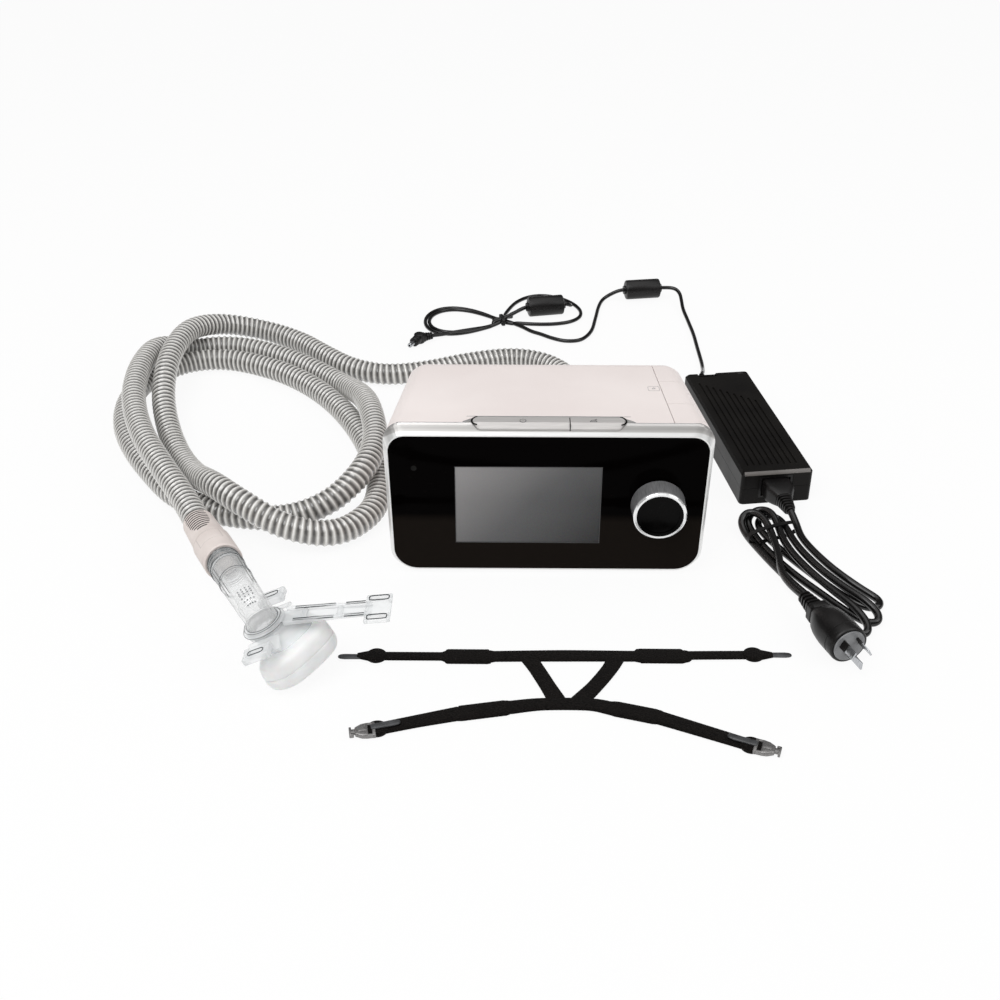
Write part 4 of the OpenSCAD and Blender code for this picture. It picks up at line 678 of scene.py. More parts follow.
lowRoute = [
    [174.41, 267.30, 22], [177, 280, 20], [180, 295, 14], [183, 315, 6], [185, 340, 3], [185, 381, 3],
    [185, 418, 3], [183, 459, 3], [181, 490, 4], [181, 512, 7], [180, 526, 10], [174, 534, 13],
    [159, 536, 13], [134, 532, 13], [109, 528, 13], [97, 527, 9], [85, 520, 4], [78, 498, 3], [72, 462, 3],
    [65, 425, 3], [52, 401, 3], [34, 397, 3], [18, 405, 3], [5, 416, 3], [-6, 424, 3], [-16, 436, 3],
    [-28, 448, 2.8], [-40, 457, 2.6]]
lowRoute += lobe("left", 0, True) + [[-52, 447, 4.5], [-40, 453.5, 7.3], [-28, 462, 5]]
lowRoute += lobe("right", 0, False) + [[-26, 446, 2.6], [-40, 451.5, 2.6], [-52, 457, 2.6]]
lowRoute += lobe("left", 1, True) + [[-52, 444, 4.5], [-41, 449, 7.3], [-28, 460, 9.5]]
lowRoute += [
    [-11.5, 473, 12.8], [12, 478, 12.8], [35.5, 483, 12.8], [42.5, 489, 9], [43, 499, 4.5], [36, 510, 2.6],
    [22, 517, 2.6], [6, 513, 2.6], [-10, 498, 2.6], [-24, 476, 5], [-31, 462, 7.4], [-42, 447, 5],
    [-56, 438, 2.6], [-80, 428, 2.6], [-100, 418.5, 3.2], [-111, 411, 4.4], [-122, 404, 6]]

lowPiece, lowLine = makeSheath("lowVoltageCable", lowRoute, lowCable, "dc_cable", "dc_hank")

# folded three times over itself
mainsLead = dict(diameter=6.6, samples=1100, sides=14, ease=5.5)
mainsRoute = [
    [221.9, 1.3, 17], [223.5, -5, 14.5], [225, -13, 12], [226, -30, 10.5], [232, -52, 10.5],
    [243, -78, 10.2], [257, -99, 8.5], [268, -108, 5], [276, -116, 3.4], [272, -126, 3.4], [260, -124, 3.4],
    [246, -108, 3.4], [232, -86, 3.4], [217, -60, 3.4], [204, -34, 3.4], [195, -12, 3.6], [193, 2, 5],
    [200, 10, 7], [209, 5, 9], [214, -8, 10.5], [217, -30, 10.5], [222, -52, 10.5], [233, -80, 10.3],
    [248, -107, 10.2], [261, -125, 9.8], [269, -137, 6], [267, -147, 3.6], [258, -146, 3.4],
    [244, -130, 3.4], [230, -108, 3.4], [214, -82, 3.4], [201, -56, 3.4], [191, -30, 3.4], [186, -10, 3.6],
    [184, 3, 6], [190, 11, 11], [200, 10, 14], [206, 0, 14.5], [208, -12, 12], [209, -30, 10.5],
    [213, -54, 10.5], [223, -82, 10.3], [237, -111, 10.2], [250, -135, 9.8], [257, -152, 6],
    [254, -163, 3.5], [246, -161, 3.4], [238, -149, 3.4], [226, -126, 3.4], [212, -100, 3.4],
    [198, -68, 3.4], [187, -38, 3.4], [180, -15, 3.6], [177, -2, 8], [181, 5, 12.8], [188, 6, 14],
    [195, -1, 14], [199, -13, 12.4], [201, -30, 10.5], [201, -58, 10.5], [199, -84, 11], [202, -106, 13],
    [208.8, -126.9, 16]]

mainsPiece, mainsLine = makeSheath("mainsLead", mainsRoute, mainsLead, "mains_cord", "mains_hank")
print(
    "hose and cables laid", round(lineLength(hoseLine), 3), round(lineLength(lowLine), 3),
    round(lineLength(mainsLine), 3))


def band(name, at, turn, half, height, width, thick):
    # a flat strip closed round a bundle: a rounded rectangle and the one inside it, each at both
    # edges of the strip
    loop = superRect(2 * half, height, 3.0, 48)
    inner = superRect(2 * half - 2 * thick, height - 2 * thick, 3.0, 48)
    rows = [
        np.stack([np.full(48, across), ring[:, 0], ring[:, 1] + height / 2], 1)
        for across, ring in ((-width / 2, loop), (width / 2, loop), (width / 2, inner), (-width / 2, inner))
    ]
    return gridMesh(name, place(np.stack(rows, 1), turned("Z", turn), at), closeU=True, closeV=True)


lowTie = band("lowCableTie", (-40.5, 452, 0), turn=12, half=11.0, height=10.3, width=3.2, thick=0.9)
dress(lowTie, plugPvc, "case", "dark_plastic", "dc_tie")
mainsTie = band("mainsLeadTie", (203.5, -19, 0), turn=-66, half=26.5, height=15.2, width=4.2, thick=1.0)
dress(mainsTie, plugPvc, "case", "dark_plastic", "mains_tie")

ferrite = dict(
    radius=11.9, length=48.0, catchAt=0.27, places=[((134, 532, 12.8), 9), ((12, 478, 12.8), 12)])


def makeFerrites(f):
    # two half shells clipped round the cable: rounded ends, a seam line and small catches along the sides
    parts = []
    for at, turn in f["places"]:
        m = turned("Z", turn)
        half, r = f["length"] / 2, f["radius"]
        end = [(0, 2.3), (0, 5.2), (2.2, 5.4), (2.4, r - 2.4), (3.2, r - 0.6), (4.6, r)]
        profile = [(x - half, y) for x, y in end] + [(half - x, y) for x, y in end[::-1]]
        parts.append(lathe("jacket", profile, at, m[:, 0], 40, close=True))
        for s in (-1, 1):
            for x in (-f["catchAt"], f["catchAt"]):
                spot = np.array(at) + m @ np.array([x * f["length"], s * (r - 0.2), 1.2])
                parts.append(roundedBox("catch", (4.2, 1.4, 3.0), m, spot, 0.5, 2))
        seam = np.array(at) - np.array([0, 0, 0.6])
        parts.append(roundedBox("seam", (f["length"] - 9, 2 * r + 0.5, 0.7), m, seam, 0.2, 1))
    return dress(joined("ferriteJackets", parts), plugPvc, "case", "brick", "ferrite_cores")


ferritePiece = makeFerrites(ferrite)
print("ties and ferrites placed")


def frameOf(way, up=(0, 0, 1)):
    # a matrix whose columns are the way along a piece, its side and its up
    along = unit(np.array(way, float))
    side = unit(np.cross(np.array(up, float), along))
    return np.stack([along, side, np.cross(along, side)], 1)


def heading(degrees):
    # a level direction from its compass angle
    return (math.cos(math.radians(degrees)), math.sin(math.radians(degrees)), 0)


def loft(name, sections, matrix, at, count=40):
    # superellipse sections given as (along, width, height, power) joined from end to end and closed
    rows = np.stack(
        [np.insert(superRect(w, h, power, count), 0, along, axis=1) for along, w, h, power in sections])
    return gridMesh(name, place(rows, matrix, at), closeV=True, capStart=True, capEnd=True)


def ribs(start, end, size0, size1, power, count, deep):
    # along a taper, rib and groove in turn: full size on the rib and less by deep in the groove
    rows = []
    for i in range(count):
        for share, cut in ((0.0, 1), (0.06, 0), (0.52, 0), (0.58, 1)):
            t = (i + share) / count
            w, h = (a + (b - a) * t - 2 * deep * cut for a, b in zip(size0, size1))
            rows.append((start + (end - start) * t, w, h, power))
    return rows


brick = dict(at=(202.0, 150.0, 0.0), turn=8.0)
brickTurn = turned("Z", brick["turn"])


def onBrick(x, y, z):
    # a point in the adapter's own axes, given in the common frame
    return brickTurn @ np.array([x, y, z]) + np.array(brick["at"])


outTurn = frameOf(brickTurn[:, 1])
lowRelief = loft(
    "lowCableRelief",
    [(0.2, 11.6, 11.6, 2), (1.5, 11.6, 11.6, 2), (1.7, 8.2, 8.2, 2)]
    + ribs(3.5, 18.5, (8.2, 8.2), (6.2, 6.2), 2, 5, 0.8) + [(19.5, 5.6, 5.6, 2), (20, 5.2, 5.2, 2)],
    outTurn, onBrick(-11, 102, 22), 28)
dress(lowRelief, plugPvc, "case", "dark_plastic", "dc_relief")

knuckle = np.array([-136.6, 397.2, 6.0])
lowPlug = joined(
    "lowVoltagePlug",
    [
        loft(
            "relief",
            [(0, 6.4, 6.4, 2)] + ribs(0.5, 9, (8, 8), (9.6, 9.6), 2.4, 3, 0.8)
            + [(9.5, 10.2, 10.2, 3), (16, 11.2, 11.2, 3)], frameOf(heading(205)), (-122, 404, 6), 32),
        lathe(
            "knuckle",
            [
                (-5.9, 3.5), (-5.8, 4.9), (-5.0, 6.0), (-3.8, 6.3), (3.8, 6.3), (5.0, 6.0), (5.8, 4.9),
                (5.9, 3.5)], knuckle, (0, 0, 1), 40),
        loft(
            "barrel",
            [
                (0, 10.6, 10.6, 2.6), (8, 10.8, 10.8, 2.4), (9, 10.8, 10.8, 2), (9.2, 10.2, 10.2, 2),
                (10, 10.2, 10.2, 2), (10.2, 10.8, 10.8, 2), (13.4, 10.8, 10.8, 2), (14, 9.8, 9.8, 2)],
            frameOf(heading(245)), knuckle, 32)])
dress(lowPlug, plugPvc, "case", "dark_plastic", "dc_plug")
lowTip = lathe(
    "lowVoltageTip",
    [
        (13, 2.72), (22.4, 2.72), (22.6, 2.5), (23.2, 2.5), (23.4, 2.72), (23.9, 2.6), (24, 2.3),
        (24, 1.25), (15, 1.25)], knuckle, heading(245), 32)
dress(lowTip, plainSteel, "case", "steel")

connector = loft(
    "mainsConnector",
    [
        (-16, 25.4, 16.6, 7), (-15.4, 26.4, 17.4, 7), (0.5, 26.4, 17.4, 7), (1.2, 26.6, 17.6, 6),
        (11, 26.6, 17.6, 6), (14, 25.4, 17.4, 5), (19, 20.4, 16.4, 4), (23, 16.4, 14.6, 3.4),
        (24, 15.6, 14, 3)] + ribs(24.6, 42.5, (14.6, 13.6), (9.4, 9.4), 3.2, 5, 1.2)
    + [(43, 8.4, 8.4, 2), (44, 7.6, 7.6, 2)], frameOf(-brickTurn[:, 1]), onBrick(-1, -106, 17), 44)
dress(connector, plugPvc, "case", "dark_plastic", "mains_connector")

plug = dict(at=(214, -142, 16), turn=-71.0)
plugTurn = frameOf(heading(plug["turn"]))
plugBody = loft(
    "mainsPlugBody",
    ribs(-16, 2, (9.5, 9.5), (14, 13), 4, 4, 1.5)
    + [
        (2, 12, 11.5, 4), (3, 15.6, 14.4, 5), (3.4, 17.4, 15.6, 6), (9.5, 18.4, 16.4, 6),
        (10, 17.4, 15.8, 5), (11.5, 18.6, 17.6, 3.6), (16, 24.2, 24, 2.6), (22, 28.4, 28.4, 2.2),
        (28, 31.0, 31.0, 2), (33, 31.9, 31.9, 2), (44, 31.9, 31.9, 2), (44.3, 31.2, 31.2, 2),
        (45.1, 31.2, 31.2, 2), (45.4, 31.9, 31.9, 2), (51.5, 31.9, 31.9, 2), (53, 31.2, 31.2, 2),
        (53.6, 29.6, 29.6, 2), (53.4, 29.0, 29.0, 2)], plugTurn, plug["at"], 56)
dress(plugBody, plugPvc, "case", "dark_plastic", "mains_plug")


def flatPin(name, x, y, z, size, tilt):
    # a flat pin turned about the plug's own length
    at = plugTurn @ np.array([x, y, z]) + np.array(plug["at"])
    return roundedBox(name, size, plugTurn @ turned("X", tilt), at, 0.35, 2)


plugFace = loft(
    "mainsPlugFace", [(52, 27.0, 27.0, 2), (54.0, 27.0, 27.0, 2), (54.4, 26.4, 26.4, 2)], plugTurn,
    plug["at"], 48)
dress(plugFace, greyNylon, "case", "grey_plastic")
pinRoots = joined("mainsPinSleeves", [flatPin("root", 57.5, -7, 4, (8, 2.1, 6.9), -30),
                                      flatPin("root", 57.5, 7, 4, (8, 2.1, 6.9), 30),
                                      flatPin("root", 56.5, 0, -5.8, (6, 2.1, 6.9), 0)])
dress(pinRoots, plugPvc, "case", "dark_plastic")
pins = joined("mainsPins", [flatPin("blade", 62, -7, 4, (18, 1.6, 6.3), -30),
                            flatPin("blade", 62, 7, 4, (18, 1.6, 6.3), 30),
                            flatPin("blade", 63, 0, -5.8, (20, 1.6, 6.3), 0)])
dress(pins, plainSteel, "case", "steel")

gripCuff = dict(
    length=84.0, shoulder=46.0, start=13.6, neck=15.0, collar=16.0, slots=9, pitch=4.1, slotDeep=0.6,
    patchStart=3.0, patchWidth=23.0, panel=(50.0, 67.0, 11.0))
outletCuff = dict(
    length=37.0, shoulder=12.0, start=13.6, neck=13.8, collar=15.0, slots=4, pitch=2.6, slotDeep=0.45,
    patchStart=14.0, patchWidth=15.0, panel=(28.0, 34.0, 7.5))


def cuff(name, c, at, way, facing, body, node):
    # a turned profile less the slots: inside a patch whose half width falls as sqrt(1 - s^3) the radius
    # goes up and down once for each slot; a panel's outline and two rings at the shoulder are sunk too
    rows, sides = int(c["length"] / 0.22), 220
    s = np.linspace(0, c["length"], rows)
    start, neck, collar, shoulder, length = (
        c[key]
        for key in ("start", "neck", "collar", "shoulder", "length"))
    profile = [(0, start - 0.8), (1.5, start), (shoulder - 0.8, neck), (shoulder - 0.3, neck - 0.35),
               (shoulder + 0.2, neck - 0.35), (shoulder + 1.2, collar), (length - 1.6, collar),
               (length - 0.5, collar - 0.3), (length, collar - 1.0)]
    r = np.interp(s, *zip(*profile))
    a = np.linspace(-np.pi, np.pi, sides, endpoint=False)
    along, around = np.meshgrid(s, a, indexing="ij")
    across = around * neck
    reach = (along - c["patchStart"]) / (c["slots"] * c["pitch"])
    band = np.floor(np.clip(reach, 0, 0.999) * c["slots"]) + 0.5
    half = c["patchWidth"] / 2 * np.sqrt(
        np.clip(1 - (band / c["slots"]) ** 3, 0, 1)) * np.minimum(1, 0.88 + band / 10) + 0.3
    inside = ((reach > 0) & (reach < 1)) * np.clip((half - np.abs(across)) / 0.35, 0, 1)
    wave = np.clip(0.5 + np.sin(2 * np.pi * reach * c["slots"]) * 2.6, 0, 1)
    groove = inside * wave
    low, high, wide = c["panel"]
    gap = np.maximum(np.maximum(low - along, along - high), np.abs(across) - wide)
    line = np.clip(1 - np.abs(gap + 0.6) / 0.45, 0, 1) * (along > low - 1)
    step = np.exp(-((along - shoulder) / 0.45) ** 2) + 0.5 * np.exp(-((along - shoulder - 3.4) / 0.35) ** 2)
    radius = r[:, None] - c["slotDeep"] * groove - 0.3 * line - 0.45 * step
    m = frameOf(way, facing)
    shape = np.stack([along, radius * np.sin(around), radius * np.cos(around)], -1)
    mouth = np.array([[[length - 0.2], [collar - 2.6]], [[length - 5], [collar - 3.2]]])  # along and radius
    ends = np.stack([mouth[:, 0] + 0 * a, mouth[:, 1] * np.sin(a), mouth[:, 1] * np.cos(a)], -1)
    piece = gridMesh(
        name, place(np.concatenate([shape, ends]), m, at), closeV=True, capStart=True, capEnd=True)
    # painted shade: the slots, the panel's outline and the shoulder rings are darkened through the groove
    # attribute
    shade = np.concatenate(
        [np.minimum(2.5 * groove + 0.35 * line + 0.45 * step, 1).ravel(), np.zeros(2 * sides)])
    piece.data.attributes.new("groove", "FLOAT", "POINT").data.foreach_set(
        "value", shade.astype(np.float32))
    return dress(piece, cuffTpe, body, "cuff", node)


cuffAt, elbowAt = np.array([-298.0, -54.0, 36.0]), np.array([-224.7, -202.0, 57.8])
cuffWay = unit(elbowAt - cuffAt)
towardsEye = (-0.30, -0.05, 0.95)
maskCuffPiece = cuff("gripCuffMask", gripCuff, cuffAt, cuffWay, towardsEye, "case", "mask_cuff")
machineCuffPiece = cuff(
    "hoseCuffMachine", outletCuff, (45, 112, 60), (0, -1, 0), (0, 0, 1), "case", "machine_cuff")

swivelAt = cuffAt + cuffWay * 80
swivelPiece = lathe(
    "clearSwivel",
    [
        (-18, 9), (-18, 10.6), (3.4, 10.9), (4.6, 11.4), (4.8, 13.0), (5.2, 13.4), (6.4, 13.4), (6.8, 13.0),
        (6.9, 11.5), (7.9, 11.5), (8.1, 13.3), (8.5, 13.8), (9.6, 13.8), (9.9, 13.2), (10.9, 13.2),
        (11.2, 13.8), (15.2, 13.8), (15.9, 13.3), (16, 12.4), (16, 11.2), (12, 11.1), (11.5, 9)], swivelAt,
    cuffWay, 72, close=True)
dress(swivelPiece, elbowClear, "case", "clear", "mask_swivel")
# painted shade: two dark rings with a lip near the swivel's mouth, and four lozenge-shaped lines at the
# swivel's own steps
shadeRingProfiles = [
    [(x - 0.45, 11.4), (x, 10.9), (x + 0.45, 11.4), (x + 0.45, 11.9), (x - 0.45, 11.9)]
    for x in (4.5, 7.4)]
shadeRingProfiles += [
    [(x - w, r - w), (x, r), (x + w, r - w), (x, r - 2 * w)]
    for x, r, w in ((5.2, 13.9, 0.8), (8.3, 13.7, 0.6), (10.4, 13.9, 0.45), (15.5, 14.0, 0.45))]
swivelShadeRings = [lathe("ring", profile, swivelAt, cuffWay, 64, close=True) for profile in shadeRingProfiles]
dress(joined("swivelDarkShadeRings", swivelShadeRings), edgeShade, "case", "clear")

elbow = dict(start=96.3, joint=166.6, wide=14.0, taper=1.7, ball=12.5)
vent = dict(
    along=169.0, length=31.0, width=19.5, rise=0.9, columns=4, rows=6, pitch=3.5, step=3.0, hole=0.42)


def elbowRadius(s):
    # from wide at its start the elbow narrows by its taper up to the joint
    return elbow["wide"] - elbow["taper"] * (s - elbow["start"]) / (elbow["joint"] - elbow["start"])


def onElbow(s, w, height):
    # the taper's radius before the joint, a ball round the joint after it; w goes round by its own arc
    past = np.maximum(s - elbow["joint"], 0) / elbow["ball"]
    radius = np.where(s < elbow["joint"], elbowRadius(s), elbow["ball"]) + height
    out = radius * np.cos(past)
    around = w / elbow["ball"]
    along = np.minimum(s, elbow["joint"]) + radius * np.sin(past)
    return np.stack([along, out * np.sin(around), out * np.cos(around)], -1)


def makeVent(v):
    # an oval pad wrapped on the elbow: its height is rise * (1 - q^8), less a fine groove at q =
    # 0.86, over the
    # oval's own radius q; holes in a grid inside it
    m = frameOf(cuffWay, towardsEye)
    q = np.concatenate([np.linspace(0.001, 0.85, 10), np.linspace(0.88, 1.0, 10)])
    f = np.linspace(0, 2 * np.pi, 72, endpoint=False)
    share, turn = np.meshgrid(q, f, indexing="ij")
    along, across = v["length"] / 2 * share * np.cos(turn), v["width"] / 2 * share * np.sin(turn)
    lift = v["rise"] * (1 - share ** 8) - 0.25 * np.exp(-((share - 0.86) / 0.03) ** 2)
    pad = gridMesh(
        "ventPad", place(onElbow(v["along"] + along, across, lift), m, cuffAt), closeV=True, capStart=True)
    dress(pad, elbowClear, "elbow", "clear")
    holes, r = [], v["hole"]
    for i in range(v["rows"]):
        for j in range(v["columns"]):
            s = v["along"] + (i - (v["rows"] - 1) / 2) * v["pitch"]
            w = (j - (v["columns"] - 1) / 2) * v["step"]
            high, low = (m @ onElbow(s, w, h) for h in (v["rise"], 0.0))
            profile = [(-0.4, r), (0.1, r + 0.2), (0.14, r), (-0.3, r * 0.5)]
            holes.append(lathe("hole", profile, cuffAt + high, high - low, 10))
    # painted shade: the holes are dark clear plastic, for the shade inside them
    dress(joined("ventHoles", holes), edgeShade, "elbow", "grey_plastic")


makeVent(vent)


def elbowLines(c):
    # painted shade: dark lines where the clear elbow looks dark, rings round it at its steps and lines
    # along its sides
    m = frameOf(cuffWay, towardsEye)
    rods = []
    a = np.linspace(0, 2 * np.pi, 64)
    for s, r, w in c["rings"]:
        ring = np.stack([np.full(64, s), r * np.sin(a), r * np.cos(a)], 1)
        rods.append(tube("ring", place(ring, m, cuffAt), w * mm, 6, m[:, 0]))
    s = np.linspace(*c["along"], 12)
    r = elbowRadius(s) + c["proud"]
    # painted shade: dark lines along the elbow's sides
    for angle in np.radians(c["sideLineAngles"]):
        seam = np.stack([s, r * np.sin(angle), r * np.cos(angle)], 1)
        rods.append(tube("seam", place(seam, m, cuffAt), c["sideLineWide"] * mm, 6, m[:, 2]))
    return dress(joined("elbowEdgeLines", rods), edgeShade, "elbow", "clear")


elbowLines(dict(rings=((97.6, 14.0, 0.35), (101.5, 13.85, 0.2), (121.0, 13.4, 0.28), (124.0, 13.3, 0.16)),
                sideLineAngles=(-62, -48, 50, 66), along=(102, 148), proud=0.05, sideLineWide=0.22))
print("cable ends, cuffs, swivel and vent placed")


mask = dict(at=(-219.0, -202.0, 45.0), tilt=-24.0, port=13.05, plate=65.0, armLift=18.0, clipAt=35.0,
            armFoot=(24, 0, -6), domeShift=(15.0, 0), webLean=28.6479)
maskTurn = turned("Y", mask["tilt"])
armTurn = maskTurn @ turned("Y", mask["armLift"])


def onMask(x, y, z):
    # a point in the mask's own axes, given in the common frame
    return maskTurn @ np.array([x, y, z]) + np.array(mask["at"])


def onArm(x, y, z):
    # a point in the forehead arm's own axes, given in the common frame
    return onMask(*mask["armFoot"]) + armTurn @ np.array([x, y, z])


def noseOutline(angle):
    # the smooth largest of three circles' supports, h = log(sum(exp(b h))) / b, turned back to points
    # h n + h' t
    sharp = 0.35
    # middle and radius: two cheeks and the bridge
    circles = ((-11, 19, 18.4), (-11, -19, 18.4), (16, 0, 12.6))
    supports = (cx * np.cos(angle) + cy * np.sin(angle) + r for cx, cy, r in circles)
    h = np.log(sum(np.exp(sharp * support) for support in supports)) / sharp
    slope = np.gradient(np.concatenate([h[-2:], h, h[:2]]), angle[1] - angle[0])[2:-2]
    return np.stack(
        [h * np.cos(angle) - slope * np.sin(angle), h * np.sin(angle) + slope * np.cos(angle)], 1)


# depth and share of the outline, down the wall, under the rolled rim and back up inside
cushion = dict(
    profile=[
        (-12.5, 0.40), (-14.5, 0.52), (-18, 0.66), (-20.2, 0.78), (-22, 0.90), (-25, 0.97), (-31.6, 0.995),
        (-32.8, 0.972), (-33.8, 0.992), (-37, 1.0), (-40.5, 0.985), (-43.6, 0.94), (-45.6, 0.85),
        (-46.2, 0.72), (-45.4, 0.60), (-43.4, 0.51), (-42, 0.50), (-41.4, 0.56), (-40, 0.70), (-36, 0.84),
        (-30, 0.86), (-24, 0.76), (-18, 0.60), (-14.5, 0.42), (-13, 0.36)])


def makeCushion(c):
    # the outline scaled by the profile's share at each depth: a soft wall that rolls under to the
    # opening and back up inside
    angle = np.linspace(0, 2 * np.pi, 168, endpoint=False)
    edge = noseOutline(angle)
    span = 40  # the millimetres that a share of 1 stands for while the profile is smoothed
    line = smoothLine([(z, k * span, 0) for z, k in c["profile"]], 110, closed=True)
    depth, share = line[:, 0], line[:, 1] / span
    nose = 1 - 0.10 * np.exp(-((angle - np.pi) / 0.42) ** 2)  # shallow notch over the lip
    depth, share = depth[:, None, None], share[:, None, None]
    shift = np.array(mask["domeShift"]) * np.clip((-depth - 8) / 12, 0.55, 1)
    flat = share * edge[None] * nose[None, :, None] + shift
    points = np.concatenate([flat, np.broadcast_to(depth, flat.shape[:2] + (1,))], -1)
    piece = gridMesh("noseCushion", place(points, maskTurn, mask["at"]), closeU=True, closeV=True)
    dress(piece, siliconeMaterial, "mask", "silicone", "mask_cushion")


makeCushion(cushion)


def makeFrame(m):
    # clear parts: a ring for the elbow, a thin dome from the ring to the cushion's shoulder, two
    # slotted clips and the forehead arm
    shift = np.array(m["domeShift"])
    ring = lathe(
        "ring",
        [
            (-10, m["port"]), (-10, 15.0), (-9.2, 15.6), (-5.6, 15.6), (-5.2, 17.4), (-3.6, 17.6),
            (-3.2, 15.7), (-1.6, 15.6), (-1.0, 15.0), (-1.0, m["port"])], m["at"], maskTurn[:, 2], 72,
        close=True)
    angle = np.linspace(0, 2 * np.pi, 120, endpoint=False)
    edge = noseOutline(angle)
    v = np.linspace(0, 1, 22)[:, None, None]
    inner = 15.3 * np.stack([np.cos(angle), np.sin(angle)], 1)[None]
    outer = 0.70 * edge[None] + shift
    waist = 1 - 0.10 * np.sin(np.pi * v)
    flat = (inner * (1 - v ** 0.9) + outer * v ** 0.9) * waist
    depth = -6.5 - 13.5 * v ** 1.5
    over = np.concatenate([flat, np.broadcast_to(depth, flat.shape[:2] + (1,))], -1)
    under = over[::-1] * np.array([0.975, 0.965, 1]) - np.array([0, 0, 1.3])
    dome = gridMesh(
        "dome", place(np.concatenate([over, under]), maskTurn, m["at"]), closeU=True, closeV=True)
    rim = np.concatenate([0.705 * edge + shift, np.full((len(angle), 1), -20.4)], 1)
    rimLine = place(np.vstack([rim, rim[:1]]), maskTurn, m["at"])
    parts = [ring, dome, tube("rim", rimLine, 0.9 * mm, 10, maskTurn[:, 2])]
    for s in (-1, 1):
        y = s * m["clipAt"]
        for x, off, size in (
            (0, -4.2, (22, 5.4, 6)), (0, 5.2, (22, 3.6, 6)), (-8.6, 1, (4.8, 12, 5.4)),
            (8.6, 1, (4.8, 12, 5.4))
        ):
            parts.append(roundedBox("clip", size, maskTurn, onMask(x, y + s * off, -5.5), 1.2, 3))
        lean = maskTurn @ turned("X", -s * m["webLean"])
        parts.append(roundedBox("web", (26, 13, 3.2), lean, onMask(2, s * 23.5, -9.5), 1.4, 3))
    for s in (-1, 1):
        t = np.linspace(0, 1, 40)[:, None]
        side = s * (8.2 - 1.6 * t + 0.8 * np.cos(np.pi * t))
        line = place(
            np.concatenate([-6 + 66 * t, side, 0.6 * np.sin(np.pi * t) - 0.2], 1), armTurn, onArm(0, 0, 0))
        section = superRect(3.2, 3.6, 3.2, 20)[None]
        across, upward = framesAlong(line, armTurn[:, 2])[1:]
        rail = line[:, None] + mm * (
            section[..., :1] * across[:, None] + section[..., 1:] * upward[:, None])
        parts.append(gridMesh("rail", rail, closeV=True, capStart=True, capEnd=True))
    plate, high = m["plate"], -0.25
    # the arm's floor
    boxes = [((24, 14, 1.2), (-1, 0, -0.6), 0.5, 2), ((60, 12.6, 0.8), (30, 0, -0.9), 0.3, 2)]
    boxes += [((4.6, 13.6, 3.2), (x, 0, -0.2), 1.2, 3) for x in (9, 36)]  # crossbars
    # the forehead plate and the bars round its two slots
    boxes += [((20, 19, 3.2), (plate, 0, high), 1.2, 3)]
    boxes += [((20, 2.6, 3.4), (plate, s * 15.4, high), 1.2, 3) for s in (-1, 1)]
    boxes += [((3.0, 8.4, 3.3), (plate + x, s * 12, high), 1.2, 3) for s in (-1, 1) for x in (-8.5, 8.5)]
    parts += [
        roundedBox("arm", size, armTurn, onArm(*at), radius, steps)
        for size, at, radius, steps in boxes]
    return dress(joined("maskFrame", parts), frameClear, "mask", "clear", "mask_frame")


makeFrame(mask)


def makeEdgeLines(m):
    # painted shade: dark lines where clear plastic looks dark along its thick edges, fine rods let into the
    # rails, slots and ring
    rods = []

    def rod(points, wide, matrix, at):
        rods.append(tube("edge", place(points, matrix, at), wide * mm, 6, matrix[:, 2]))

    def loop(w, h, power, count, x, y, z):
        ring = superRect(w, h, power, count)
        line = np.insert(ring, 2, z, axis=1) + np.array([x, y, 0])
        return np.vstack([line, line[:2]])

    foot = onArm(0, 0, 0)
    for s in (-1, 1):
        for x0, x1 in ((1, 32), (40, 55)):
            for off in (-1.1, 1.2):
                rod([[x, s * (7.6 + off), 1.62] for x in np.linspace(x0, x1, 8)], 0.4, armTurn, foot)
        rod(loop(15.2, 5.6, 5, 48, m["plate"], s * 12, 1.5), 0.42, armTurn, foot)
        rod(loop(12.6, 5.0, 4, 40, 0, s * 36, -2.45), 0.34, maskTurn, m["at"])
    a = np.linspace(0, 2 * np.pi, 72)
    for r, z in ((15.5, -1.2), (17.5, -4.2), (13.4, -0.9)):
        rod(np.stack([r * np.cos(a), r * np.sin(a), np.full(72, z)], 1), 0.2, maskTurn, m["at"])
    return dress(joined("maskEdgeLines", rods), edgeShade, "mask", "clear")


makeEdgeLines(mask)
print("mask made")


# a strap is its stations along the middle line, each with its width; the four lie on the table
headgear = dict(
    thick=2.4,
    upper=[
        (-136, -190, 9.4), (-85, -190, 9.4), (-79, -190, 17), (-48, -190, 17), (-42, -189.6, 12.4),
        (12, -188.4, 13.2), (66, -188.4, 12.4), (72, -188, 17), (104, -188, 17), (111, -187, 9.6),
        (161, -186, 9.4)],
    lower=[
        (-128, -275.3, 12.2), (-100, -266.5, 12.8), (-70, -257.8, 14.6), (-66, -256.9, 16.2),
        (-34, -250.6, 16.2), (-30, -250, 14.0), (-6, -246.2, 13), (28, -246.2, 13), (44, -250.2, 14.2),
        (49, -251.4, 16.2), (76, -259.4, 16.2), (81, -261.4, 14.2), (112, -275.8, 13), (143, -290.4, 12)],
    leftLink=[(-17, -189.5, 13.6), (-10, -205, 12.6), (-2, -225, 12.6), (5, -243, 14)],
    rightLink=[(53, -189.5, 13.6), (46, -205, 12.6), (34, -225, 12.6), (21, -243, 14)])


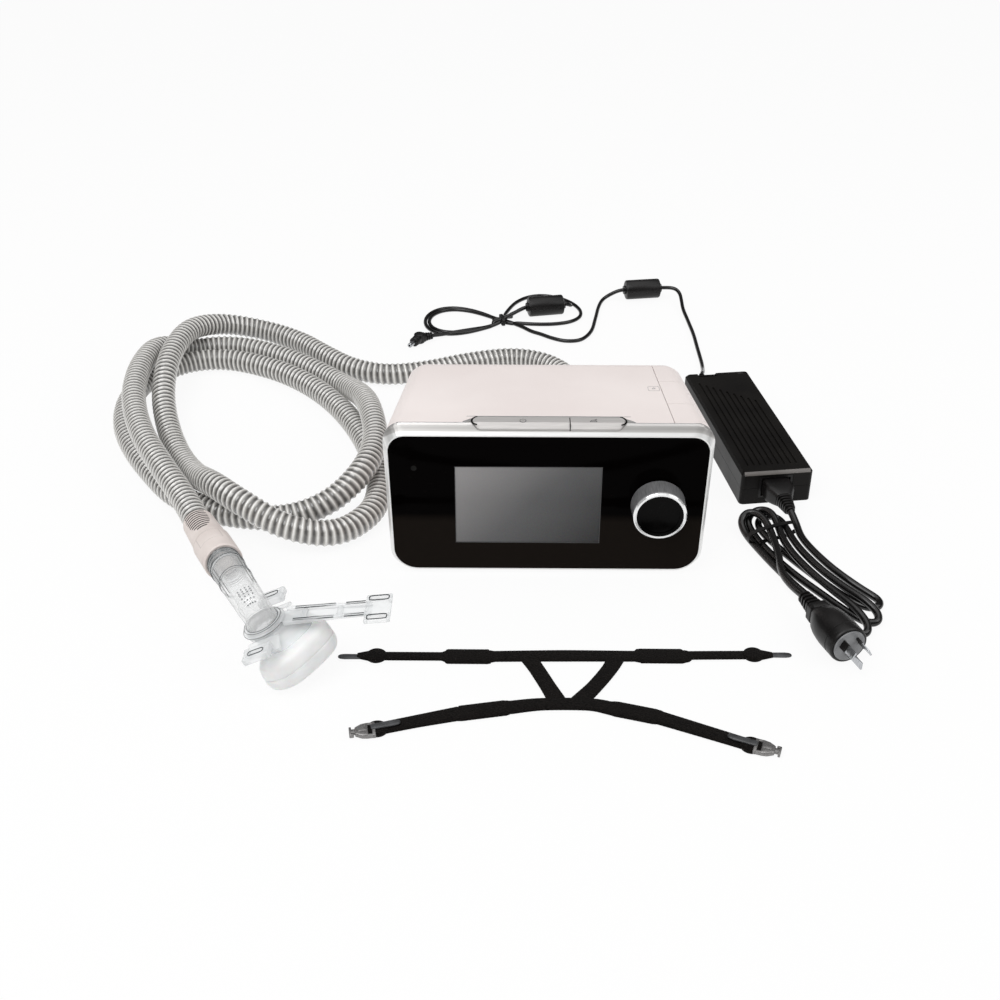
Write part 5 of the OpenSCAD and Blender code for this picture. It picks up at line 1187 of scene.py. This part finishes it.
def ribbon(name, stations, thick, low, count):
    # the stations joined by a smooth line, at each point a flat rounded section: its width goes evenly from
    # station to station with a slight fray, and it is thicker where it is wide and in its middle
    path = np.array([(x, y, low + thick / 2) for x, y, w in stations], float)
    line = smoothLine(path, count)
    marks = np.concatenate([[0], np.cumsum(np.linalg.norm(np.diff(path, axis=0), axis=1))])
    s = np.linspace(0, marks[-1], count)
    width = np.interp(s, marks, [w for x, y, w in stations])
    puff = thick * (1 + 0.22 * np.clip((width - 12.4) / 5, 0, 1))
    ring = superRect(1, 1, 5, 36)
    fray = 0.10 * np.sin(s * 1.9) + 0.08 * np.sin(s * 4.7 + 1)
    u, v = framesAlong(line)[1:]
    wide = (width + fray)[:, None, None] * ring[None, :, :1] * u[:, None]
    crown = (1 + 0.12 * (1 - np.abs(2 * ring[None, :, :1]) ** 3)) * puff[:, None, None] * ring[None, :, 1:]
    points = (line[:, None] + wide + crown * v[:, None]) * mm
    points[..., 2] = np.maximum(points[..., 2], 0.0001)
    piece = gridMesh(name, points, closeV=True, capStart=True, capEnd=True)
    area = float(np.sum((width[1:] + width[:-1]) / 2 * np.diff(s)))
    return piece, (float(width.max() + 0.3) * mm, lineLength(line) * mm), area * mm * mm


straps = {}
for key, low, count in (
    ("upper", 0.05, 420), ("lower", 0.05, 400), ("leftLink", 0.25, 90), ("rightLink", 0.25, 90)
):
    thick = headgear["thick"] - (0.6 if "Link" in key else 0.3)
    straps[key] = ribbon("headgear" + key[0].upper() + key[1:], headgear[key], thick, low, count)
    dress(straps[key][0], fabricMaterial, "case", "fabric", "headgear_straps")


boss = [(0.05, 7.2), (0.35, 8), (2.5, 8), (3.1, 7.4), (3.3, 6.4)]  # a low round end with a rolled edge
ends = [
    lathe("end", boss, (x, y, 0), (0, 0, 1), 44)
    for x, y in ((-135, -190), (160, -186), (-127, -275), (142, -290))]
for x, y, turn in ((-135, -190, 180), (160, -186, 0)):
    throat = [(0, 13, 2.4, 4), (6, 11.6, 2.4, 4), (12, 7.6, 2.3, 4), (15, 6.0, 2.2, 3)]
    ends.append(loft("throat", throat, frameOf(heading(turn)), (x, y, 1.3), 28))
dress(joined("strapEnds", ends), fabricMaterial, "case", "fabric", "headgear_straps")

tongue = [
    (0, 4.6, 1.6, 3), (2, 5.4, 1.9, 3), (17, 5.8, 1.9, 3), (20.2, 5.0, 1.7, 2.6), (21.6, 3.2, 1.2, 2.2),
    (22, 1.4, 0.7, 2)]
for name, z, places in (("upperTabs", 1.2, ((-143, -191, 180), (168, -186, 0))),
                        ("lowerTabs", 4.1, ((-131.5, -276.2, 17), (146, -291.6, 155)))):
    tabs = [loft("tab", tongue, frameOf(heading(turn)), (x, y, z), 30) for x, y, turn in places]
    dress(joined(name, tabs), darkNylon, "case", "grey_plastic", "strap_tabs")


def makeClip(x, y, turn):
    # a spring clip: a bar for the strap between two sides, a tapered body, its spring, and a hook on a neck
    m = turned("Z", turn)
    at = np.array([x, y, 2.3])
    body = [
        (-2.4, 13.6, 3.6, 6), (-1.8, 14.2, 4.2, 6), (2.4, 12.6, 4.2, 6), (6.2, 8.2, 3.8, 5),
        (7.0, 7.2, 3.2, 5)]
    boxes = dict(bar=((2.6, 14, 3.8), (-6.6, 0, 0), 0.7), left=((6, 2.2, 3.4), (-4, -5.9, 0), 0.6),
                 right=((6, 2.2, 3.4), (-4, 5.9, 0), 0.6), spring=((6.4, 4.6, 0.7), (1.6, 0, 2.2), 0.3),
                 neck=((4.4, 4.0, 3.0), (8.4, 0, 0), 0.6), hook=((1.8, 8.6, 3.4), (10.4, 0, 0), 0.5),
                 hookTip=((3.0, 1.8, 3.2), (9.4, 3.6, 0), 0.5))  # size, place and edge radius
    parts = [
        roundedBox(name, size, m, at + m @ np.array(off), r, 2)
        for name, (size, off, r) in boxes.items()]
    return parts + [loft("body", body, m, at, 40)]


clips = makeClip(-135.8, -278.4, 190) + makeClip(151.2, -294.2, -20)
dress(joined("strapClips", clips), clipMetal, "case", "grey_plastic", "strap_clips")
print("headgear made")


# painted highlight: a thin lighter strip along the adapter's front bevel
bevelTurn = brickTurn @ turned("X", 45)
edgeStrip = roundedBox("adapterFrontBevel", (63, 4.0, 0.4), bevelTurn, onBrick(0, -104.45, 31.5), 0.18, 2)
dress(edgeStrip, bevelPaintedHighlight, "case", "brick")
lamp = joined(
    "adapterLamp", [roundedBox("lamp", (5.6, 3.6, 0.5), brickTurn, onBrick(24.5, 100, 33.05), 0.2, 2)])
dress(lamp, lampWindow, "case", "dark_plastic")

buttons = dict(top=143.0, split=17.0, middle=-64.0, roundAt=55.4, round=7.2, line=0.2)


def arc(x, y, z, r, start, end, thick, count=28):
    # a round line along part of a circle level with the table
    a = np.radians(np.linspace(start, end, count))
    return tube(
        "arc", np.stack([x + r * np.cos(a), y + r * np.sin(a), np.full(count, z)], 1) * mm, thick * mm, 8)


def stroke(start, end, up=(0, 0, 1)):
    # a straight printed line on a button, from one point of its top to another
    return tube(
        "stroke", np.array([(*start, buttons["top"]), (*end, buttons["top"])]) * mm, buttons["line"] * mm,
        8, up)


def buttonArc(side, start, end):
    # the shadow round a button's outer end
    return arc(
        side * buttons["roundAt"], buttons["middle"], buttons["top"] - 0.3, buttons["round"], start, end,
        0.62)


# painted shade: a nearly black sheet in the gap between the buttons, and arcs of painted shadow round their
# outer ends
gap = roundedBox(
    "buttonGap", (0.62, 12.6, 8.2), np.eye(3), (buttons["split"], buttons["middle"], 138.4), 0.1, 1)
shadows = [gap, buttonArc(-1, 112, 248), buttonArc(1, -68, 68)]
dress(joined("buttonShadowLines", shadows), darkGap, "case", "dark_plastic")
powerMark = [
    arc(-21, -64.4, buttons["top"], 2.5, 120, 420, buttons["line"]),
    stroke((-21, -63.9), (-21, -60.9), (1, 0, 0))]
dress(joined("powerMark", powerMark), printedInk, "power_key", "silver")
rampMark = [
    arc(36, -65.6, buttons["top"], 2.7, 0, 180, buttons["line"]), stroke((33.3, -65.6), (38.7, -65.6)),
    stroke((37, -62.4), (39, -61.2))]
dress(joined("rampMark", rampMark), printedInk, "ramp_key", "silver")

trim = dict(front=-66.0, back=-53.4, foot=70.0, top=58.7, outer=71.6, half=134.0, corner=15.0, z=142.0,
            fall=11.0 / 139.5)


def onTop(y):
    # the height of the cover's top, which falls evenly towards the rear
    return trim["z"] - trim["fall"] * (y - trim["front"])


markAt = dict(x=91.6, y=8.0, size=9.6)
topTurn = turned("X", -math.degrees(math.atan(trim["fall"])))
markPlace = (markAt["x"], markAt["y"], onTop(markAt["y"]))
frameRing = np.insert(superRect(markAt["size"], markAt["size"], 8, 56), 2, 0, axis=1)
t = np.linspace(0, 2 * math.pi, 30)  # a drop: to the side by sin t (1 - cos t), down by (1 - cos t)
drop = np.stack([np.sin(t) * (1 - np.cos(t)) * 0.95, 2.0 - 2.0 * (1 - np.cos(t)) / 1.3, 0 * t], 1)
markLines = [tube("frame", place(np.vstack([frameRing, frameRing[:2]]), topTurn, markPlace), 0.14 * mm, 6),
             tube("drop", place(drop, topTurn, markPlace), 0.22 * mm, 6)]
dress(joined("tankMark", markLines), greyNylon, "case", "cover")


def shoulder(count):
    # from the band's edge up to the tongue's: x moves by the smooth step 3 t^2 - 2 t^3 while y goes evenly
    t = np.linspace(0, 1, count)
    x = trim["foot"] + (trim["top"] - trim["foot"]) * (3 * t ** 2 - 2 * t ** 3)
    y = trim["front"] + (trim["back"] - trim["front"]) * t
    return x, y, onTop(y)


sx, sy, sz = shoulder(30)
flush = np.full(30, trim["outer"])
section = ((sx, sz + 0.12), (flush, sz + 0.12), (flush, sz - 0.3), (sx, sz - 0.3))
corners = [gridMesh("corner", np.stack([np.stack([s * x, sy, z], 1) for x, z in section], 1) * mm,
                    closeV=True, capStart=True, capEnd=True) for s in (-1, 1)]
dress(joined("coverShoulders", corners), coverAbs, "case", "cover")
turn, r = np.linspace(math.pi / 2, 0, 12), trim["corner"]
side = np.stack(
    [trim["half"] - r + r * np.sin(turn), np.full(12, trim["front"]), trim["z"] - r + r * np.cos(turn)], 1)
right = np.vstack([[[trim["half"], trim["front"], 70]], side, np.stack([sx, sy, sz + 0.1], 1)])
seamLine = np.vstack([right, (right * np.array([-1, 1, 1]))[::-1]]) * mm
dress(tube("trimSeam", smoothLine(seamLine, 400), 0.2 * mm, 6), greyNylon, "case", "trim")

# the screen is its middle in x and z, its width and its height
glass = dict(face=-73.5, screen=(-16.05, 68.2, 120.7, 73.5), sensor=(-110.0, 103.5), line=0.45)
sx, sz, sw, sh = glass["screen"]
masks = [roundedBox("mask", (w, 0.06, sh + 1.1), np.eye(3), (x, glass["face"] - 0.03, sz), 0.02, 1)
         for x, w in ((46.05, 3.5), (-77.1, 1.4))]
dress(joined("screenSideMask", masks), glassMaterial, "case", "black_glass")
face = lathe(
    "knobFaceEdge", [(2.7, 16), (3.05, 16), (3.08, 19.2), (2.8, 19.45)], (91.5, -91.5, 71), (0, -1, 0), 96,
    close=True)
dress(face, knobBlack, "knob", "black_gloss")
border = []
for s in (-1, 1):
    for size, x, z in (
        ((sw + 1.0, 0.14, glass["line"]), sx, sz + s * sh / 2),
        ((glass["line"], 0.14, sh), sx + s * sw / 2, sz)
    ):
        border.append(roundedBox("edge", size, np.eye(3), (x, glass["face"], z), 0.04, 1))
dress(joined("screenBorder", border), printedInk, "case", "black_glass")
sensor = lathe(
    "lightSensor", [(-0.05, 2.4), (0.08, 2.4), (0.1, 2.1)],
    (glass["sensor"][0], glass["face"], glass["sensor"][1]), (0, -1, 0), 32)
dress(sensor, darkGap, "case", "black_glass")
print("fine detail placed")
